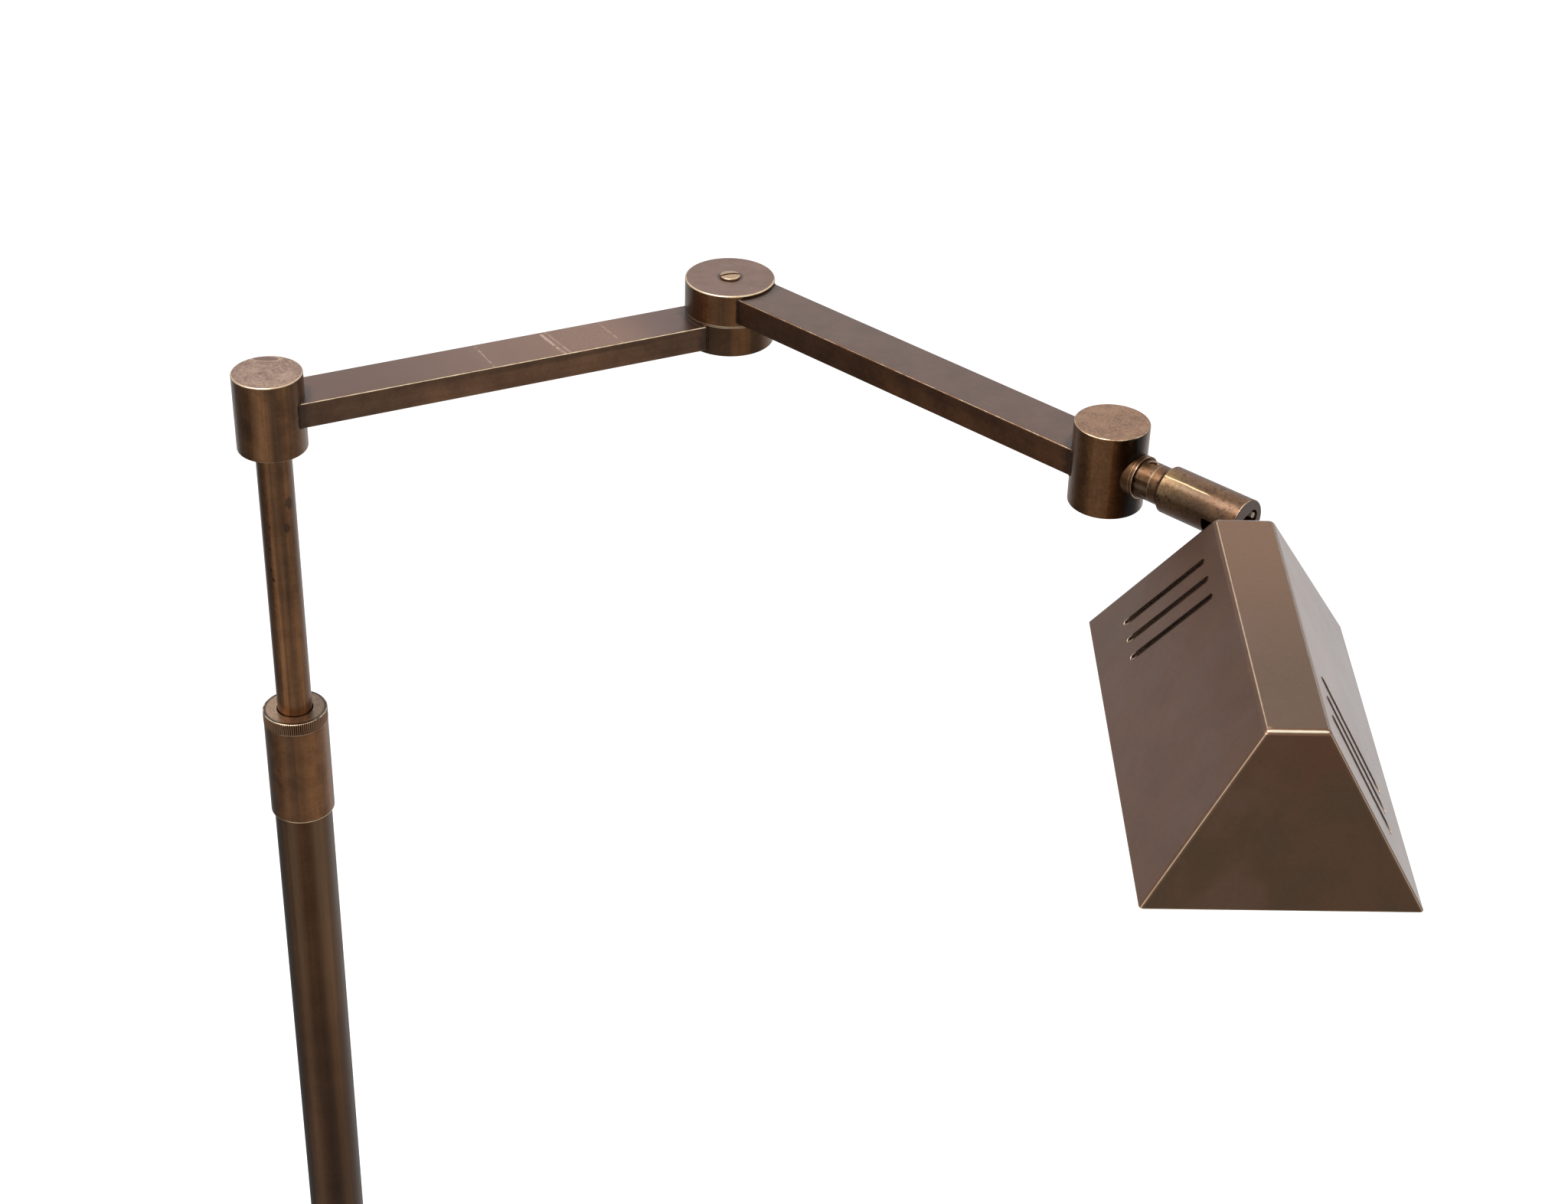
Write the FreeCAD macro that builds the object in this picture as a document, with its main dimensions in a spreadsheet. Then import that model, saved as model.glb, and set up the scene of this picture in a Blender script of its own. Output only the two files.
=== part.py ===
"""Swing arm floor lamp: weighted base, sliding mast, two hinged arms and a tent shaped shade.

Origin: centre of the base's underside. +Z up, the pole stands on the Z axis.
The model stands in the pose of the photograph, and every joint is at zero there.
"""
import FreeCAD, Part
import math
import os

import Sketcher

# Driving dimensions, in millimetres and degrees
SIZES = {
    # Base
    "base_radius": 135.0,
    "base_height": 24.0,
    "base_edge_radius": 6.0,
    "cover_sheet": 1.5,
    "cover_lift": 2.0,
    "felt_thickness": 3.0,
    "weight_inset": 4.0,
    "weight_bevel": 4.0,
    "weight_bore": 6.0,
    "service_pocket_radius": 25.0,
    "service_pocket_height": 12.0,
    "cord_channel_width": 9.0,
    "cord_height": 11.0,
    "cord_bore": 3.5,
    "grommet_neck": 4.9,
    "grommet_flange": 7.0,
    "grommet_lip": 6.5,
    # Pole and its fixing
    "pole_radius": 13.45,
    "pole_wall": 1.5,
    "pole_top": 843.0,
    "flange_radius": 22.0,
    "flange_height": 8.0,
    "flange_lip": 2.0,
    "foot_plug_height": 20.0,
    "nipple_radius": 5.0,
    "nipple_bore": 3.5,
    "nipple_setback": 2.0,
    "nipple_washer_radius": 16.0,
    "nipple_washer_thickness": 1.6,
    "nipple_nut_corner": 9.2,
    "nipple_nut_height": 5.0,
    # Height clamp at the top of the pole
    "collar_radius": 14.84,
    "collar_overlap": 34.1,
    "collar_rise": 16.04,
    "ring_radius": 14.94,
    "ring_height": 5.8,
    "ring_bore": 8.5,
    "ring_edge": 0.5,
    "knurl_count": 96,
    "knurl_depth": 0.36,
    "collet_height": 17.7,
    "collet_rise": 2.7,
    "collet_taper_length": 3.7,
    "collet_taper_depth": 1.3,
    "collet_slit": 1.0,
    "collet_seat_height": 8.0,
    # Mast
    "rod_radius": 8.0,
    "rod_wall": 1.2,
    "rod_bottom": 532.0,
    "guide_height": 24.0,
    "mast_head_height": 4.7,
    # Lower arm, measured from its own axis
    "lower_arm_height": 1021.89,
    "lower_arm_azimuth": 26.401,
    "lower_arm_length": 219.3,
    "lower_arm_width": 24.46,
    "lower_arm_depth": 12.16,
    "lower_hub_radius": 15.55,
    "lower_hub_rise": 18.11,
    "lower_hub_drop": 18.59,
    "hub_bore": 11.05,
    "hub_roof": 5.4,
    "bush_top": 6.0,
    "bush_relief": 10.4,
    "bush_lip": 1.2,
    "bush_inset": 0.5,
    "thrust_thickness": 1.4,
    # Knuckle, measured from its split line
    "knuckle_radius": 20.7,
    "knuckle_rise": 15.755,
    "knuckle_drop": 14.99,
    "knuckle_split": 0.3,
    "split_above_lower_arm": 7.06,
    "knuckle_boss": 6.9,
    "knuckle_cavity": 15.0,
    "knuckle_roof": 3.5,
    "knuckle_floor": 4.4,
    "friction_disc_inner": 16.2,
    "friction_disc_outer": 19.5,
    "friction_disc_thickness": 1.1,
    "knuckle_screw_radius": 3.0,
    "knuckle_head_radius": 4.65,
    "knuckle_head_height": 3.5,
    "knuckle_counterbore": 2.0,
    "screw_slot_width": 1.3,
    "screw_slot_angle": 58.0,
    "knuckle_head_dome": 0.6,
    "knuckle_head_edge": 0.4,
    "spring_washer_thickness": 0.9,
    "knuckle_nut_corner": 5.77,
    "knuckle_nut_height": 3.1,
    # Upper arm
    "elbow_angle": -69.15,
    "upper_arm_above_split": 7.96,
    "upper_arm_length": 220.67,
    "upper_arm_width": 24.52,
    "upper_arm_depth": 12.5,
    "upper_hub_radius": 15.86,
    "upper_hub_rise": 18.97,
    "upper_hub_drop": 18.66,
    "upper_hub_bore": 11.5,
    "upper_hub_roof": 4.5,
    "upper_hub_plug": 3.5,
    "arm_wall": 1.6,
    "arm_edge": 0.8,
    "lead_window": 4.4,
    "lead_radius": 1.8,
    "lead_inset": 1.0,
    "lead_end_gap": 2.0,
    # Head stub and sleeve, measured along the head's axis from the upper hub's axis
    "stub_ring_radius": 9.2,
    "stub_ring_end": 18.5,
    "stub_radius": 8.2,
    "stub_flats": 15.0,
    "stub_flats_end": 25.8,
    "stub_end": 30.2,
    "stub_thread": 5.0,
    "stub_bore": 3.5,
    "tommy_hole_radius": 1.6,
    "tommy_hole_place": 22.3,
    "spigot_radius": 6.5,
    "spigot_end": 50.0,
    "grub_place": 38.0,
    "grub_radius": 2.0,
    "grub_groove_depth": 1.2,
    "grub_tip_radius": 1.4,
    "grub_slot_width": 0.6,
    "grub_slot_depth": 1.0,
    "seal_place": 45.2,
    "seal_section": 0.85,
    "sleeve_radius": 10.1,
    "sleeve_nose_radius": 8.7,
    "sleeve_nose_length": 1.65,
    "sleeve_end": 69.8,
    "sleeve_edge": 0.4,
    "slot_start": 54.7,
    "slot_width": 7.6,
    "slot_reach": 7.1,
    "head_roll": 20.0,
    "head_lead_radius": 1.2,
    "head_lead_offset": 5.1,
    # Swing joint between the sleeve and the shade
    "pivot_place": 61.827,
    "pivot_offset": 1.0,
    "pivot_radius": 2.0,
    "pivot_head_radius": 3.5,
    "pivot_head_height": 2.4,
    "pivot_grip": 3.4,
    "pivot_slot": 1.0,
    "pivot_thread_length": 3.9,
    "swing_angle": -48.949,
    "lug_width": 9.2,
    "lug_thickness": 6.2,
    "lug_plate_length": 13.2,
    "lug_lean": 7.166,
    "lug_spin": -14.509,
    "lug_shank_radius": 5.0,
    "lug_shank_start": 12.6,
    "lug_flange_radius": 9.0,
    "lug_flange_thickness": 1.6,
    "lug_thread_radius": 4.0,
    "lug_reach": 18.702,
    "lug_nut_corner": 7.5,
    "lug_nut_height": 4.0,
    "lug_washer_radius": 8.25,
    "lug_washer_thickness": 1.5,
    "pivot_washer_thickness": 0.5,
    # Shade, measured from the middle of its rim
    "shade_length": 171.85,
    "shade_width": 104.02,
    "shade_height": 67.19,
    "ridge_length": 130.1,
    "ridge_width": 22.44,
    "shade_sheet": 1.2,
    "shade_corner_radius": 1.7,
    "lug_height_on_shade": 44.227,
    "vent_count": 3,
    "vent_width": 2.6,
    "vent_pitch": 11.2,
    "vent_bottom": 20.5,
    "vent_top": 67.0,
    "left_vent_place": 26.9,
    "left_vent_lean": 15.0,
    "right_vent_place": 23.4,
    "right_vent_lean": 18.5,
    # Lamp carrier inside the shade
    "bracket_height": 59.8,
    "bracket_length": 119.0,
    "bracket_width": 14.0,
    "bracket_sheet": 1.5,
    "bracket_leg": 37.8,
    "stud_spacing": 60.0,
    "stud_radius": 2.0,
    "stud_shoulder": 3.5,
    "stud_nut_corner": 4.04,
    "stud_nut_height": 2.4,
    "reflector_gap": 2.2,
    "reflector_corner": 2.0,
    "reflector_bottom": 8.0,
    "reflector_sheet": 0.8,
    "bulb_height": 31.0,
    "bulb_length": 78.3,
    "bulb_radius": 5.5,
    "bulb_glass_length": 58.0,
    "bulb_shoulder": 3.0,
    "bulb_cap_radius": 3.5,
    "holder_length": 22.0,
    "holder_width": 16.0,
    "holder_height": 18.0,
    "holder_recess": 3.4,
    "holder_screw_radius": 1.5,
    "holder_screw_spacing": 13.0,
    "holder_head_radius": 2.7,
    "holder_head_height": 1.5,
    # Foot switch in the base
    "switch_inset": 50.0,
    "switch_neck_radius": 9.0,
    "switch_neck_height": 4.0,
    "switch_case_radius": 13.0,
    "switch_case_depth": 16.0,
    "switch_bore": 8.0,
    "switch_lip": 1.8,
    "switch_pocket_gap": 1.6,
    "bezel_chamfer": 1.2,
    "terminal_plate_thickness": 3.0,
    "button_radius": 6.5,
    "button_height": 9.0,
    "button_flange": 7.8,
    "button_flange_height": 2.4,
    "button_stem": 5.0,
    "button_edge": 1.5,
    "spring_radius": 5.4,
    "spring_wire": 0.45,
    "spring_turns": 6.0,
    "spring_guide_play": 1.5,
    # Clearances
    "running_fit": 0.05,
    "sliding_fit": 0.1,
    "part_gap": 0.1,
    "braze_gap": 0.05,
    "pocket_gap": 0.3,
    "thread_show": 1.0,
}

# How far a cutting piece reaches past the faces that it cuts
PAST = 1.0

doc = FreeCAD.newDocument("SwingArmFloorLamp")


# Lengths that carry their expression

class Length:
    """A size that knows its expression in the sheet and its value now."""

    def __init__(self, text, value):
        self.text = text
        self.value = value

    def __add__(self, other):
        return Length("(%s + %s)" % (self.text, written(other)), self.value + number(other))

    def __radd__(self, other):
        return Length("(%s + %s)" % (written(other), self.text), number(other) + self.value)

    def __sub__(self, other):
        return Length("(%s - %s)" % (self.text, written(other)), self.value - number(other))

    def __rsub__(self, other):
        return Length("(%s - %s)" % (written(other), self.text), number(other) - self.value)

    def __mul__(self, other):
        return Length("(%s * %s)" % (self.text, written(other)), self.value * number(other))

    def __rmul__(self, other):
        return Length("(%s * %s)" % (written(other), self.text), number(other) * self.value)

    def __truediv__(self, other):
        return Length("(%s / %s)" % (self.text, written(other)), self.value / number(other))

    def __rtruediv__(self, other):
        return Length("(%s / %s)" % (written(other), self.text), number(other) / self.value)

    def __neg__(self):
        return Length("(-%s)" % self.text, -self.value)


def written(size):
    """The expression of a Length or of a plain number."""
    return size.text if isinstance(size, Length) else "%g" % size


def number(size):
    """The value of a Length or of a plain number."""
    return size.value if isinstance(size, Length) else float(size)


def root(size):
    """Square root of a Length."""
    return Length("sqrt(%s)" % size.text, math.sqrt(size.value))


def angle_of(ratio):
    """Angle in degrees whose tangent is the ratio."""
    return Length("atan(%s)" % ratio.text, math.degrees(math.atan(ratio.value)))


NOTHING = Length("0", 0.0)
ONE = Length("1", 1.0)


class Sizes:
    """The sheet's cells as Lengths, one attribute for each alias."""


def write_sheet():
    """Fills the spreadsheet and returns its cells as Lengths."""
    sheet = doc.addObject("Spreadsheet::Sheet", "Sizes")
    cells = Sizes()
    for row, (alias, value) in enumerate(SIZES.items(), start=1):
        cell = "A%d" % row
        sheet.set(cell, str(value))
        sheet.setAlias(cell, alias)
        setattr(cells, alias, Length("Sizes." + alias, float(value)))
    doc.recompute()
    return cells


s = write_sheet()


# Placing

def shift(x=0, y=0, z=0, yaw=0, pitch=0, roll=0):
    """Expression of a placement, in the order yaw, pitch, roll."""
    spot = "; ".join(written(size) for size in (x, y, z))
    turn = "; ".join(written(size) for size in (yaw, pitch, roll))
    return "placement(vector(%s); rotation(%s))" % (spot, turn)


def frame(name, parent, move):
    """A named reference frame, placed in its parent frame."""
    axes = doc.addObject("App::Placement", name)
    axes.setExpression("Placement", move if parent is None else parent + ".Placement * " + move)
    return name


def put(piece, parent, move=None):
    """Binds a piece's Placement to a frame, and to a move inside it."""
    text = parent + ".Placement"
    if move is not None:
        text += " * " + move
    piece.setExpression("Placement", text)
    return piece


# Making

NODES = []


def keep(piece, node):
    """Names a finished sub-part."""
    piece.Label = node
    NODES.append(piece)
    return piece


def plane_of(body, role):
    """One of a body's own origin planes or axes."""
    return next(item for item in body.Origin.OriginFeatures if item.Role == role)


def bind(sketch, kind, geometry, point, size):
    """A bound distance from the sketch's origin to a point."""
    index = sketch.addConstraint(Sketcher.Constraint(kind, -1, 1, geometry, point, number(size)))
    if isinstance(size, Length):
        sketch.setExpression("Constraints[%d]" % index, size.text)


def polygon(body, name, role, corners, move=None):
    """A closed sketch with a bound corner at each (across, up) pair."""
    sketch = body.newObject("Sketcher::SketchObject", name)
    sketch.AttachmentSupport = [(plane_of(body, role), "")]
    sketch.MapMode = "FlatFace"
    if move is not None:
        sketch.setExpression("AttachmentOffset", move)
    points = [FreeCAD.Vector(number(across), number(up), 0) for across, up in corners]
    count = len(points)
    for i in range(count):
        sketch.addGeometry(Part.LineSegment(points[i], points[(i + 1) % count]), False)
    for i in range(count):
        sketch.addConstraint(Sketcher.Constraint("Coincident", i, 2, (i + 1) % count, 1))
    for i, (across, up) in enumerate(corners):
        bind(sketch, "DistanceX", i, 1, across)
        bind(sketch, "DistanceY", i, 1, up)
    return sketch


def turned(name, outline):
    """A body of revolution about its own Z axis, from (radius, height) corners."""
    body = doc.addObject("PartDesign::Body", name)
    profile = polygon(body, name + "_profile", "XZ_Plane", outline)
    turn = body.newObject("PartDesign::Revolution", name + "_turn")
    turn.Profile = profile
    turn.ReferenceAxis = (profile, ["V_Axis"])
    turn.Angle = 360
    doc.recompute()
    return body


def soften(body, radius, rings):
    """Rounds the round edges of a turned body that lie at the (radius, height) places."""
    tip = body.Tip
    chosen = []
    for i, edge in enumerate(tip.Shape.Edges, start=1):
        if not isinstance(edge.Curve, Part.Circle):
            continue
        for ring_radius, height in rings:
            near = abs(edge.Curve.Radius - number(ring_radius)) < 1e-4
            if near and abs(edge.Curve.Center.z - number(height)) < 1e-4:
                chosen.append("Edge%d" % i)
    rounding = body.newObject("PartDesign::Fillet", body.Name + "_rounding")
    rounding.Base = (tip, chosen)
    rounding.setExpression("Radius", written(radius))
    doc.recompute()
    return body


def shape_of(kind, name, sizes, move=None):
    """A Part primitive with bound sizes and a bound place."""
    piece = doc.addObject(kind, name)
    for prop, size in sizes.items():
        if isinstance(size, Length):
            piece.setExpression(prop, size.text)
        else:
            setattr(piece, prop, size)
    if move is not None:
        piece.setExpression("Placement", move)
    return piece


def rod(name, radius, height, move=None):
    """A plain cylinder along Z."""
    return shape_of("Part::Cylinder", name, {"Radius": radius, "Height": height}, move)


def block(name, length, width, height, move=None):
    """A plain box from its lowest corner."""
    return shape_of("Part::Box", name, {"Length": length, "Width": width, "Height": height}, move)


def hexagon(name, corner, height, move=None):
    """A hexagonal prism along Z."""
    sizes = {"Polygon": 6, "Circumradius": corner, "Height": height}
    return shape_of("Part::Prism", name, sizes, move)


def joined(name, pieces):
    """One solid from several that overlap, or a group of separate ones."""
    union = doc.addObject("Part::MultiFuse", name)
    union.Shapes = pieces
    return union


def cut(name, stock, tools):
    """Stock with all the tools taken out."""
    result = doc.addObject("Part::Cut", name)
    result.Base = stock
    result.Tool = tools[0] if len(tools) == 1 else joined(name + "_tools", tools)
    return result


def ring(name, inner, outer, bottom, top):
    """A plain turned ring."""
    return turned(name, [(inner, bottom), (outer, bottom), (outer, top), (inner, top)])


def hex_nut(name, corner, bore, bottom, height, move=None):
    """A hexagonal nut along Z."""
    stock = hexagon(name + "_stock", corner, height, shift(z=bottom))
    hole = rod(name + "_hole", bore, height + 2 * PAST, shift(z=bottom - PAST))
    return cut(name, stock, [hole])


# Reference frames

STAND = frame("StandFrame", None, shift())
MAST_TOP = frame("MastTopFrame", STAND, shift(z=s.lower_arm_height))
LOWER_ARM = frame("LowerArmFrame", MAST_TOP, shift(yaw=s.lower_arm_azimuth))
KNUCKLE = frame("KnuckleFrame", LOWER_ARM, shift(x=s.lower_arm_length, z=s.split_above_lower_arm))
UPPER_ARM = frame("UpperArmFrame", KNUCKLE, shift(yaw=s.elbow_angle))
UPPER_HUB = frame("UpperHubFrame", UPPER_ARM,
                  shift(x=s.upper_arm_length, z=s.upper_arm_above_split))
HEAD = frame("HeadFrame", UPPER_HUB, shift(roll=s.head_roll))
PIVOT = frame("PivotFrame", HEAD, shift(x=s.pivot_place, y=-s.pivot_offset))
LUG = frame("LugFrame", PIVOT, shift(yaw=s.swing_angle))
SHANK = frame("ShankFrame", LUG, shift(pitch=s.lug_lean, roll=s.lug_spin))

hip_slope = (s.shade_length - s.ridge_length) / 2 / s.shade_height
side_slope = (s.shade_width - s.ridge_width) / 2 / s.shade_height
hip_foot = s.shade_length / 2 - hip_slope * s.lug_height_on_shade
HIP = frame("HipFrame", SHANK, shift(x=s.lug_reach, pitch=-angle_of(hip_slope)))
SHADE = frame("ShadeFrame", HIP, shift(x=hip_foot, z=-s.lug_height_on_shade))
switch_place = s.base_radius - s.switch_inset
SWITCH = frame("SwitchFrame", STAND, shift(y=-switch_place, z=s.base_height))

ALONG_X = shift(pitch=90)
weight_radius = s.base_radius - s.weight_inset
pole_bore = s.pole_radius - s.pole_wall
rod_bore = s.rod_radius - s.rod_wall


# Base

cover_under = s.base_height - s.cover_sheet


def make_base_cover():
    """Spun cover with a rounded edge, and holes for the pipe, the switch and the cord."""
    inner = s.base_radius - s.cover_sheet
    stock = turned("base_cover_stock", [
        (s.weight_bore, cover_under), (inner, cover_under), (inner, s.cover_lift),
        (s.base_radius, s.cover_lift), (s.base_radius, s.base_height),
        (s.weight_bore, s.base_height)])
    soften(stock, s.base_edge_radius, [(s.base_radius, s.base_height)])
    soften(stock, s.base_edge_radius - s.cover_sheet, [(inner, cover_under)])
    switch_hole = rod("cover_switch_hole", s.switch_neck_radius + s.sliding_fit, 2 * s.cover_sheet,
                      shift(y=-switch_place, z=s.base_height - 1.5 * s.cover_sheet))
    cord_hole = rod("cover_cord_hole", s.grommet_neck + s.part_gap, 4 * s.cover_sheet,
                    shift(y=s.base_radius - 2 * s.cover_sheet, z=s.cord_height, roll=-90))
    cover = cut("base_cover", stock, [switch_hole, cord_hole])
    keep(put(cover, STAND), "base_cover")


def make_base_weight():
    """Cast disc with the pocket for the nut, the cord channel and the switch pocket."""
    bottom = s.felt_thickness
    stock = turned("base_weight_stock", [
        (s.weight_bore, bottom), (weight_radius, bottom),
        (weight_radius, cover_under - s.weight_bevel),
        (weight_radius - s.weight_bevel, cover_under), (s.weight_bore, cover_under)])
    pocket = rod("weight_pocket", s.service_pocket_radius, s.service_pocket_height + PAST,
                 shift(z=bottom - PAST))
    channel = block("weight_channel", s.cord_channel_width, weight_radius + PAST,
                    s.service_pocket_height + PAST,
                    shift(x=-s.cord_channel_width / 2, z=bottom - PAST))
    switch_pocket = rod("weight_switch_pocket", s.switch_case_radius + s.switch_pocket_gap,
                        s.base_height, shift(y=-switch_place, z=bottom - PAST))
    weight = cut("base_weight", stock, [pocket, channel, switch_pocket])
    keep(put(weight, STAND), "base_weight")


def make_base_underside():
    """Felt disc, and the grommet where the cord enters at the back."""
    felt = turned("base_felt", [(0, 0), (weight_radius, 0), (weight_radius, s.felt_thickness),
                                (0, s.felt_thickness)])
    keep(put(felt, STAND), "base_felt")
    skirt_inside = s.base_radius - s.cover_sheet - 2 * s.part_gap
    skirt_outside = s.base_radius + 2 * s.part_gap
    flange_end = skirt_outside + s.cover_sheet
    grommet = turned("cord_grommet", [
        (s.cord_bore, skirt_inside - s.cover_sheet),
        (s.grommet_lip, skirt_inside - s.cover_sheet), (s.grommet_lip, skirt_inside),
        (s.grommet_neck, skirt_inside), (s.grommet_neck, skirt_outside),
        (s.grommet_flange, skirt_outside), (s.grommet_flange, flange_end),
        (s.cord_bore, flange_end)])
    keep(put(grommet, STAND, shift(z=s.cord_height, roll=-90)), "cord_grommet")


make_base_cover()
make_base_weight()
make_base_underside()


# Pole and its fixing

def make_pole():
    """Tube, foot plug and the turned flange over its foot."""
    tube = ring("pole_tube", pole_bore, s.pole_radius, s.base_height, s.pole_top)
    keep(put(tube, STAND), "pole_tube")
    plug = ring("pole_foot_plug", s.nipple_radius + s.part_gap, pole_bore - s.running_fit,
                s.base_height, s.base_height + s.foot_plug_height)
    keep(put(plug, STAND), "pole_foot_plug")
    bore = s.pole_radius + s.running_fit
    foot = s.base_height
    flange = turned("pole_flange", [
        (bore, foot), (s.flange_radius, foot), (s.flange_radius, foot + s.flange_height / 4),
        (s.pole_radius + s.flange_lip, foot + s.flange_height), (bore, foot + s.flange_height)])
    keep(put(flange, STAND), "pole_flange")


def make_pole_fixing():
    """Hollow threaded pipe from the base's pocket into the foot plug, with washer and nut."""
    pocket_roof = s.felt_thickness + s.service_pocket_height
    washer_bottom = pocket_roof - s.nipple_washer_thickness
    nut_bottom = washer_bottom - s.nipple_nut_height
    nipple = ring("pole_nipple", s.nipple_bore, s.nipple_radius, nut_bottom - s.thread_show,
                  s.base_height + s.foot_plug_height - s.nipple_setback)
    keep(put(nipple, STAND), "pole_nipple")
    bore = s.nipple_radius + s.part_gap
    washer = ring("nipple_washer", bore, s.nipple_washer_radius, washer_bottom, pocket_roof)
    keep(put(washer, STAND), "nipple_washer")
    nut = hex_nut("nipple_nut", s.nipple_nut_corner, bore, nut_bottom, s.nipple_nut_height)
    keep(put(nut, STAND), "nipple_nut")


make_pole()
make_pole_fixing()


# Height clamp at the top of the pole

collar_bore = s.pole_radius + s.running_fit
collar_bottom = s.pole_top - s.collar_overlap
collar_top = s.pole_top + s.collar_rise
collet_top = s.pole_top + s.collet_rise
seat_top = collet_top - s.collet_height
seat_bottom = seat_top - s.collet_seat_height
ring_bottom = collar_top + 2 * s.part_gap
ring_top = ring_bottom + s.ring_height


def make_collar():
    """Sleeve brazed over the pole's end, and the seat that the collet stands on."""
    collar = turned("collar_sleeve", [
        (collar_bore, collar_bottom), (s.collar_radius, collar_bottom),
        (s.collar_radius, collar_top), (pole_bore, collar_top), (pole_bore, s.pole_top),
        (collar_bore, s.pole_top)])
    keep(put(collar, STAND), "collar_sleeve")
    seat = ring("collet_seat", s.rod_radius + s.pocket_gap, pole_bore - s.running_fit,
                seat_bottom, seat_top)
    keep(put(seat, STAND), "collet_seat")


def make_collet():
    """Slit sleeve that the lock ring presses against the mast."""
    bore = s.rod_radius + s.running_fit
    outer = pole_bore - s.sliding_fit
    stock = turned("clamp_collet_stock", [
        (bore, seat_top), (outer, seat_top), (outer, collet_top - s.collet_taper_length),
        (outer - s.collet_taper_depth, collet_top), (bore, collet_top)])
    slits = [
        block("collet_slit_%d" % i, s.pole_radius, s.collet_slit, s.collet_height,
              shift(z=seat_top + s.collet_height / 3, yaw=120 * i))
        for i in range(3)]
    keep(put(cut("clamp_collet", stock, slits), STAND), "clamp_collet")


def make_lock_ring():
    """Knurled ring with the threaded shank that bears on the collet."""
    shank = pole_bore - s.sliding_fit
    shank_bottom = collet_top + s.pocket_gap
    stock = turned("lock_ring_stock", [
        (s.ring_bore, shank_bottom), (shank, shank_bottom), (shank, ring_bottom),
        (s.ring_radius, ring_bottom), (s.ring_radius, ring_top), (s.ring_bore, ring_top)])
    soften(stock, s.ring_edge, [(s.ring_radius, ring_top)])
    side = s.knurl_depth * root(2 * ONE)
    notches = [
        block("knurl_notch_%d" % i, side, side, s.ring_height + 2 * PAST,
              shift(yaw=360 / s.knurl_count * i) + " * "
              + shift(x=s.ring_radius - s.knurl_depth, z=ring_bottom - PAST, yaw=-45))
        for i in range(int(s.knurl_count.value))]
    keep(put(cut("lock_ring", stock, notches), STAND), "lock_ring")


make_collar()
make_collet()
make_lock_ring()


# Mast, with its head measured from the lower arm's axis

head_bottom = s.bush_top + 3 * s.part_gap
head_top = head_bottom + s.mast_head_height
mast_lead_place = rod_bore - s.pocket_gap - s.lead_radius


def make_mast():
    """Hollow rod with its guide at the foot and the head that carries the lower hub."""
    stock = ring("mast_rod_stock", rod_bore, s.rod_radius, s.rod_bottom,
                 s.lower_arm_height + head_top)
    window = rod("mast_window", s.lead_window, s.pole_radius,
                 shift(z=s.lower_arm_height, yaw=s.lower_arm_azimuth, pitch=90))
    keep(put(cut("mast_rod", stock, [window]), STAND), "mast_rod")
    guide = ring("rod_guide", s.rod_radius + s.running_fit, pole_bore - s.sliding_fit,
                 s.rod_bottom, s.rod_bottom + s.guide_height)
    keep(put(guide, STAND), "rod_guide")
    head = ring("mast_head", s.rod_radius + s.running_fit, s.hub_bore - s.sliding_fit,
                head_bottom, head_top)
    keep(put(head, MAST_TOP), "mast_head")
    washer = ring("thrust_washer", rod_bore, s.hub_bore - 2 * s.running_fit,
                  head_top + s.part_gap / 2, head_top + s.part_gap / 2 + s.thrust_thickness)
    keep(put(washer, MAST_TOP), "thrust_washer")
    lead_bottom = s.rod_bottom + s.lead_end_gap
    lead_top = s.lower_arm_height - s.lead_window - 2 * s.lead_end_gap
    lead = rod("mast_lead", s.lead_radius, lead_top - lead_bottom,
               shift(x=-mast_lead_place, z=lead_bottom))
    keep(lead, "mast_lead")


make_mast()


# Lower arm

def wall_hole(name, hole_radius, inner, outer, height=NOTHING, side=1):
    """A round hole along X through a round wall, on its +X side, or with side -1 on the other."""
    start = inner - PAST if side > 0 else -outer - PAST
    return rod(name, hole_radius, outer - inner + 2 * PAST, shift(x=start, z=height, pitch=90))


def arm_tube(name, length, width, depth, height, first_radius, last_radius):
    """A flat tube coped to the round pieces at both ends."""
    body = doc.addObject("PartDesign::Body", name + "_stock")
    stock = body.newObject("PartDesign::AdditiveBox", name + "_bar")
    stock.AttachmentSupport = [(plane_of(body, "XY_Plane"), "")]
    stock.MapMode = "FlatFace"
    stock.setExpression("Length", length.text)
    stock.setExpression("Width", width.text)
    stock.setExpression("Height", depth.text)
    stock.setExpression("AttachmentOffset", shift(y=-width / 2, z=height - depth / 2))
    doc.recompute()
    along = ["Edge%d" % i for i, edge in enumerate(stock.Shape.Edges, start=1)
             if abs(edge.tangentAt(edge.FirstParameter).x) > 0.99]
    rounding = body.newObject("PartDesign::Fillet", name + "_rounding")
    rounding.Base = (stock, along)
    rounding.setExpression("Radius", s.arm_edge.text)
    doc.recompute()
    hollow = block(name + "_hollow", length, width - 2 * s.arm_wall, depth - 2 * s.arm_wall,
                   shift(y=-width / 2 + s.arm_wall, z=height - depth / 2 + s.arm_wall))
    copes = [
        rod(name + "_cope_%d" % i, radius + s.braze_gap, 3 * depth,
            shift(x=place, z=height - 1.5 * depth))
        for i, (radius, place) in enumerate(((first_radius, 0), (last_radius, length)))]
    return cut(name, body, [hollow] + copes)


def arm_lead(name, arm, length, depth, height, first_radius, last_radius):
    """The lead along the floor of an arm tube."""
    place = height - depth / 2 + s.arm_wall + s.pocket_gap + s.lead_radius
    lead = rod(name, s.lead_radius, length - first_radius - last_radius)
    keep(put(lead, arm, shift(x=first_radius, z=place, pitch=90)), name)


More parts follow.
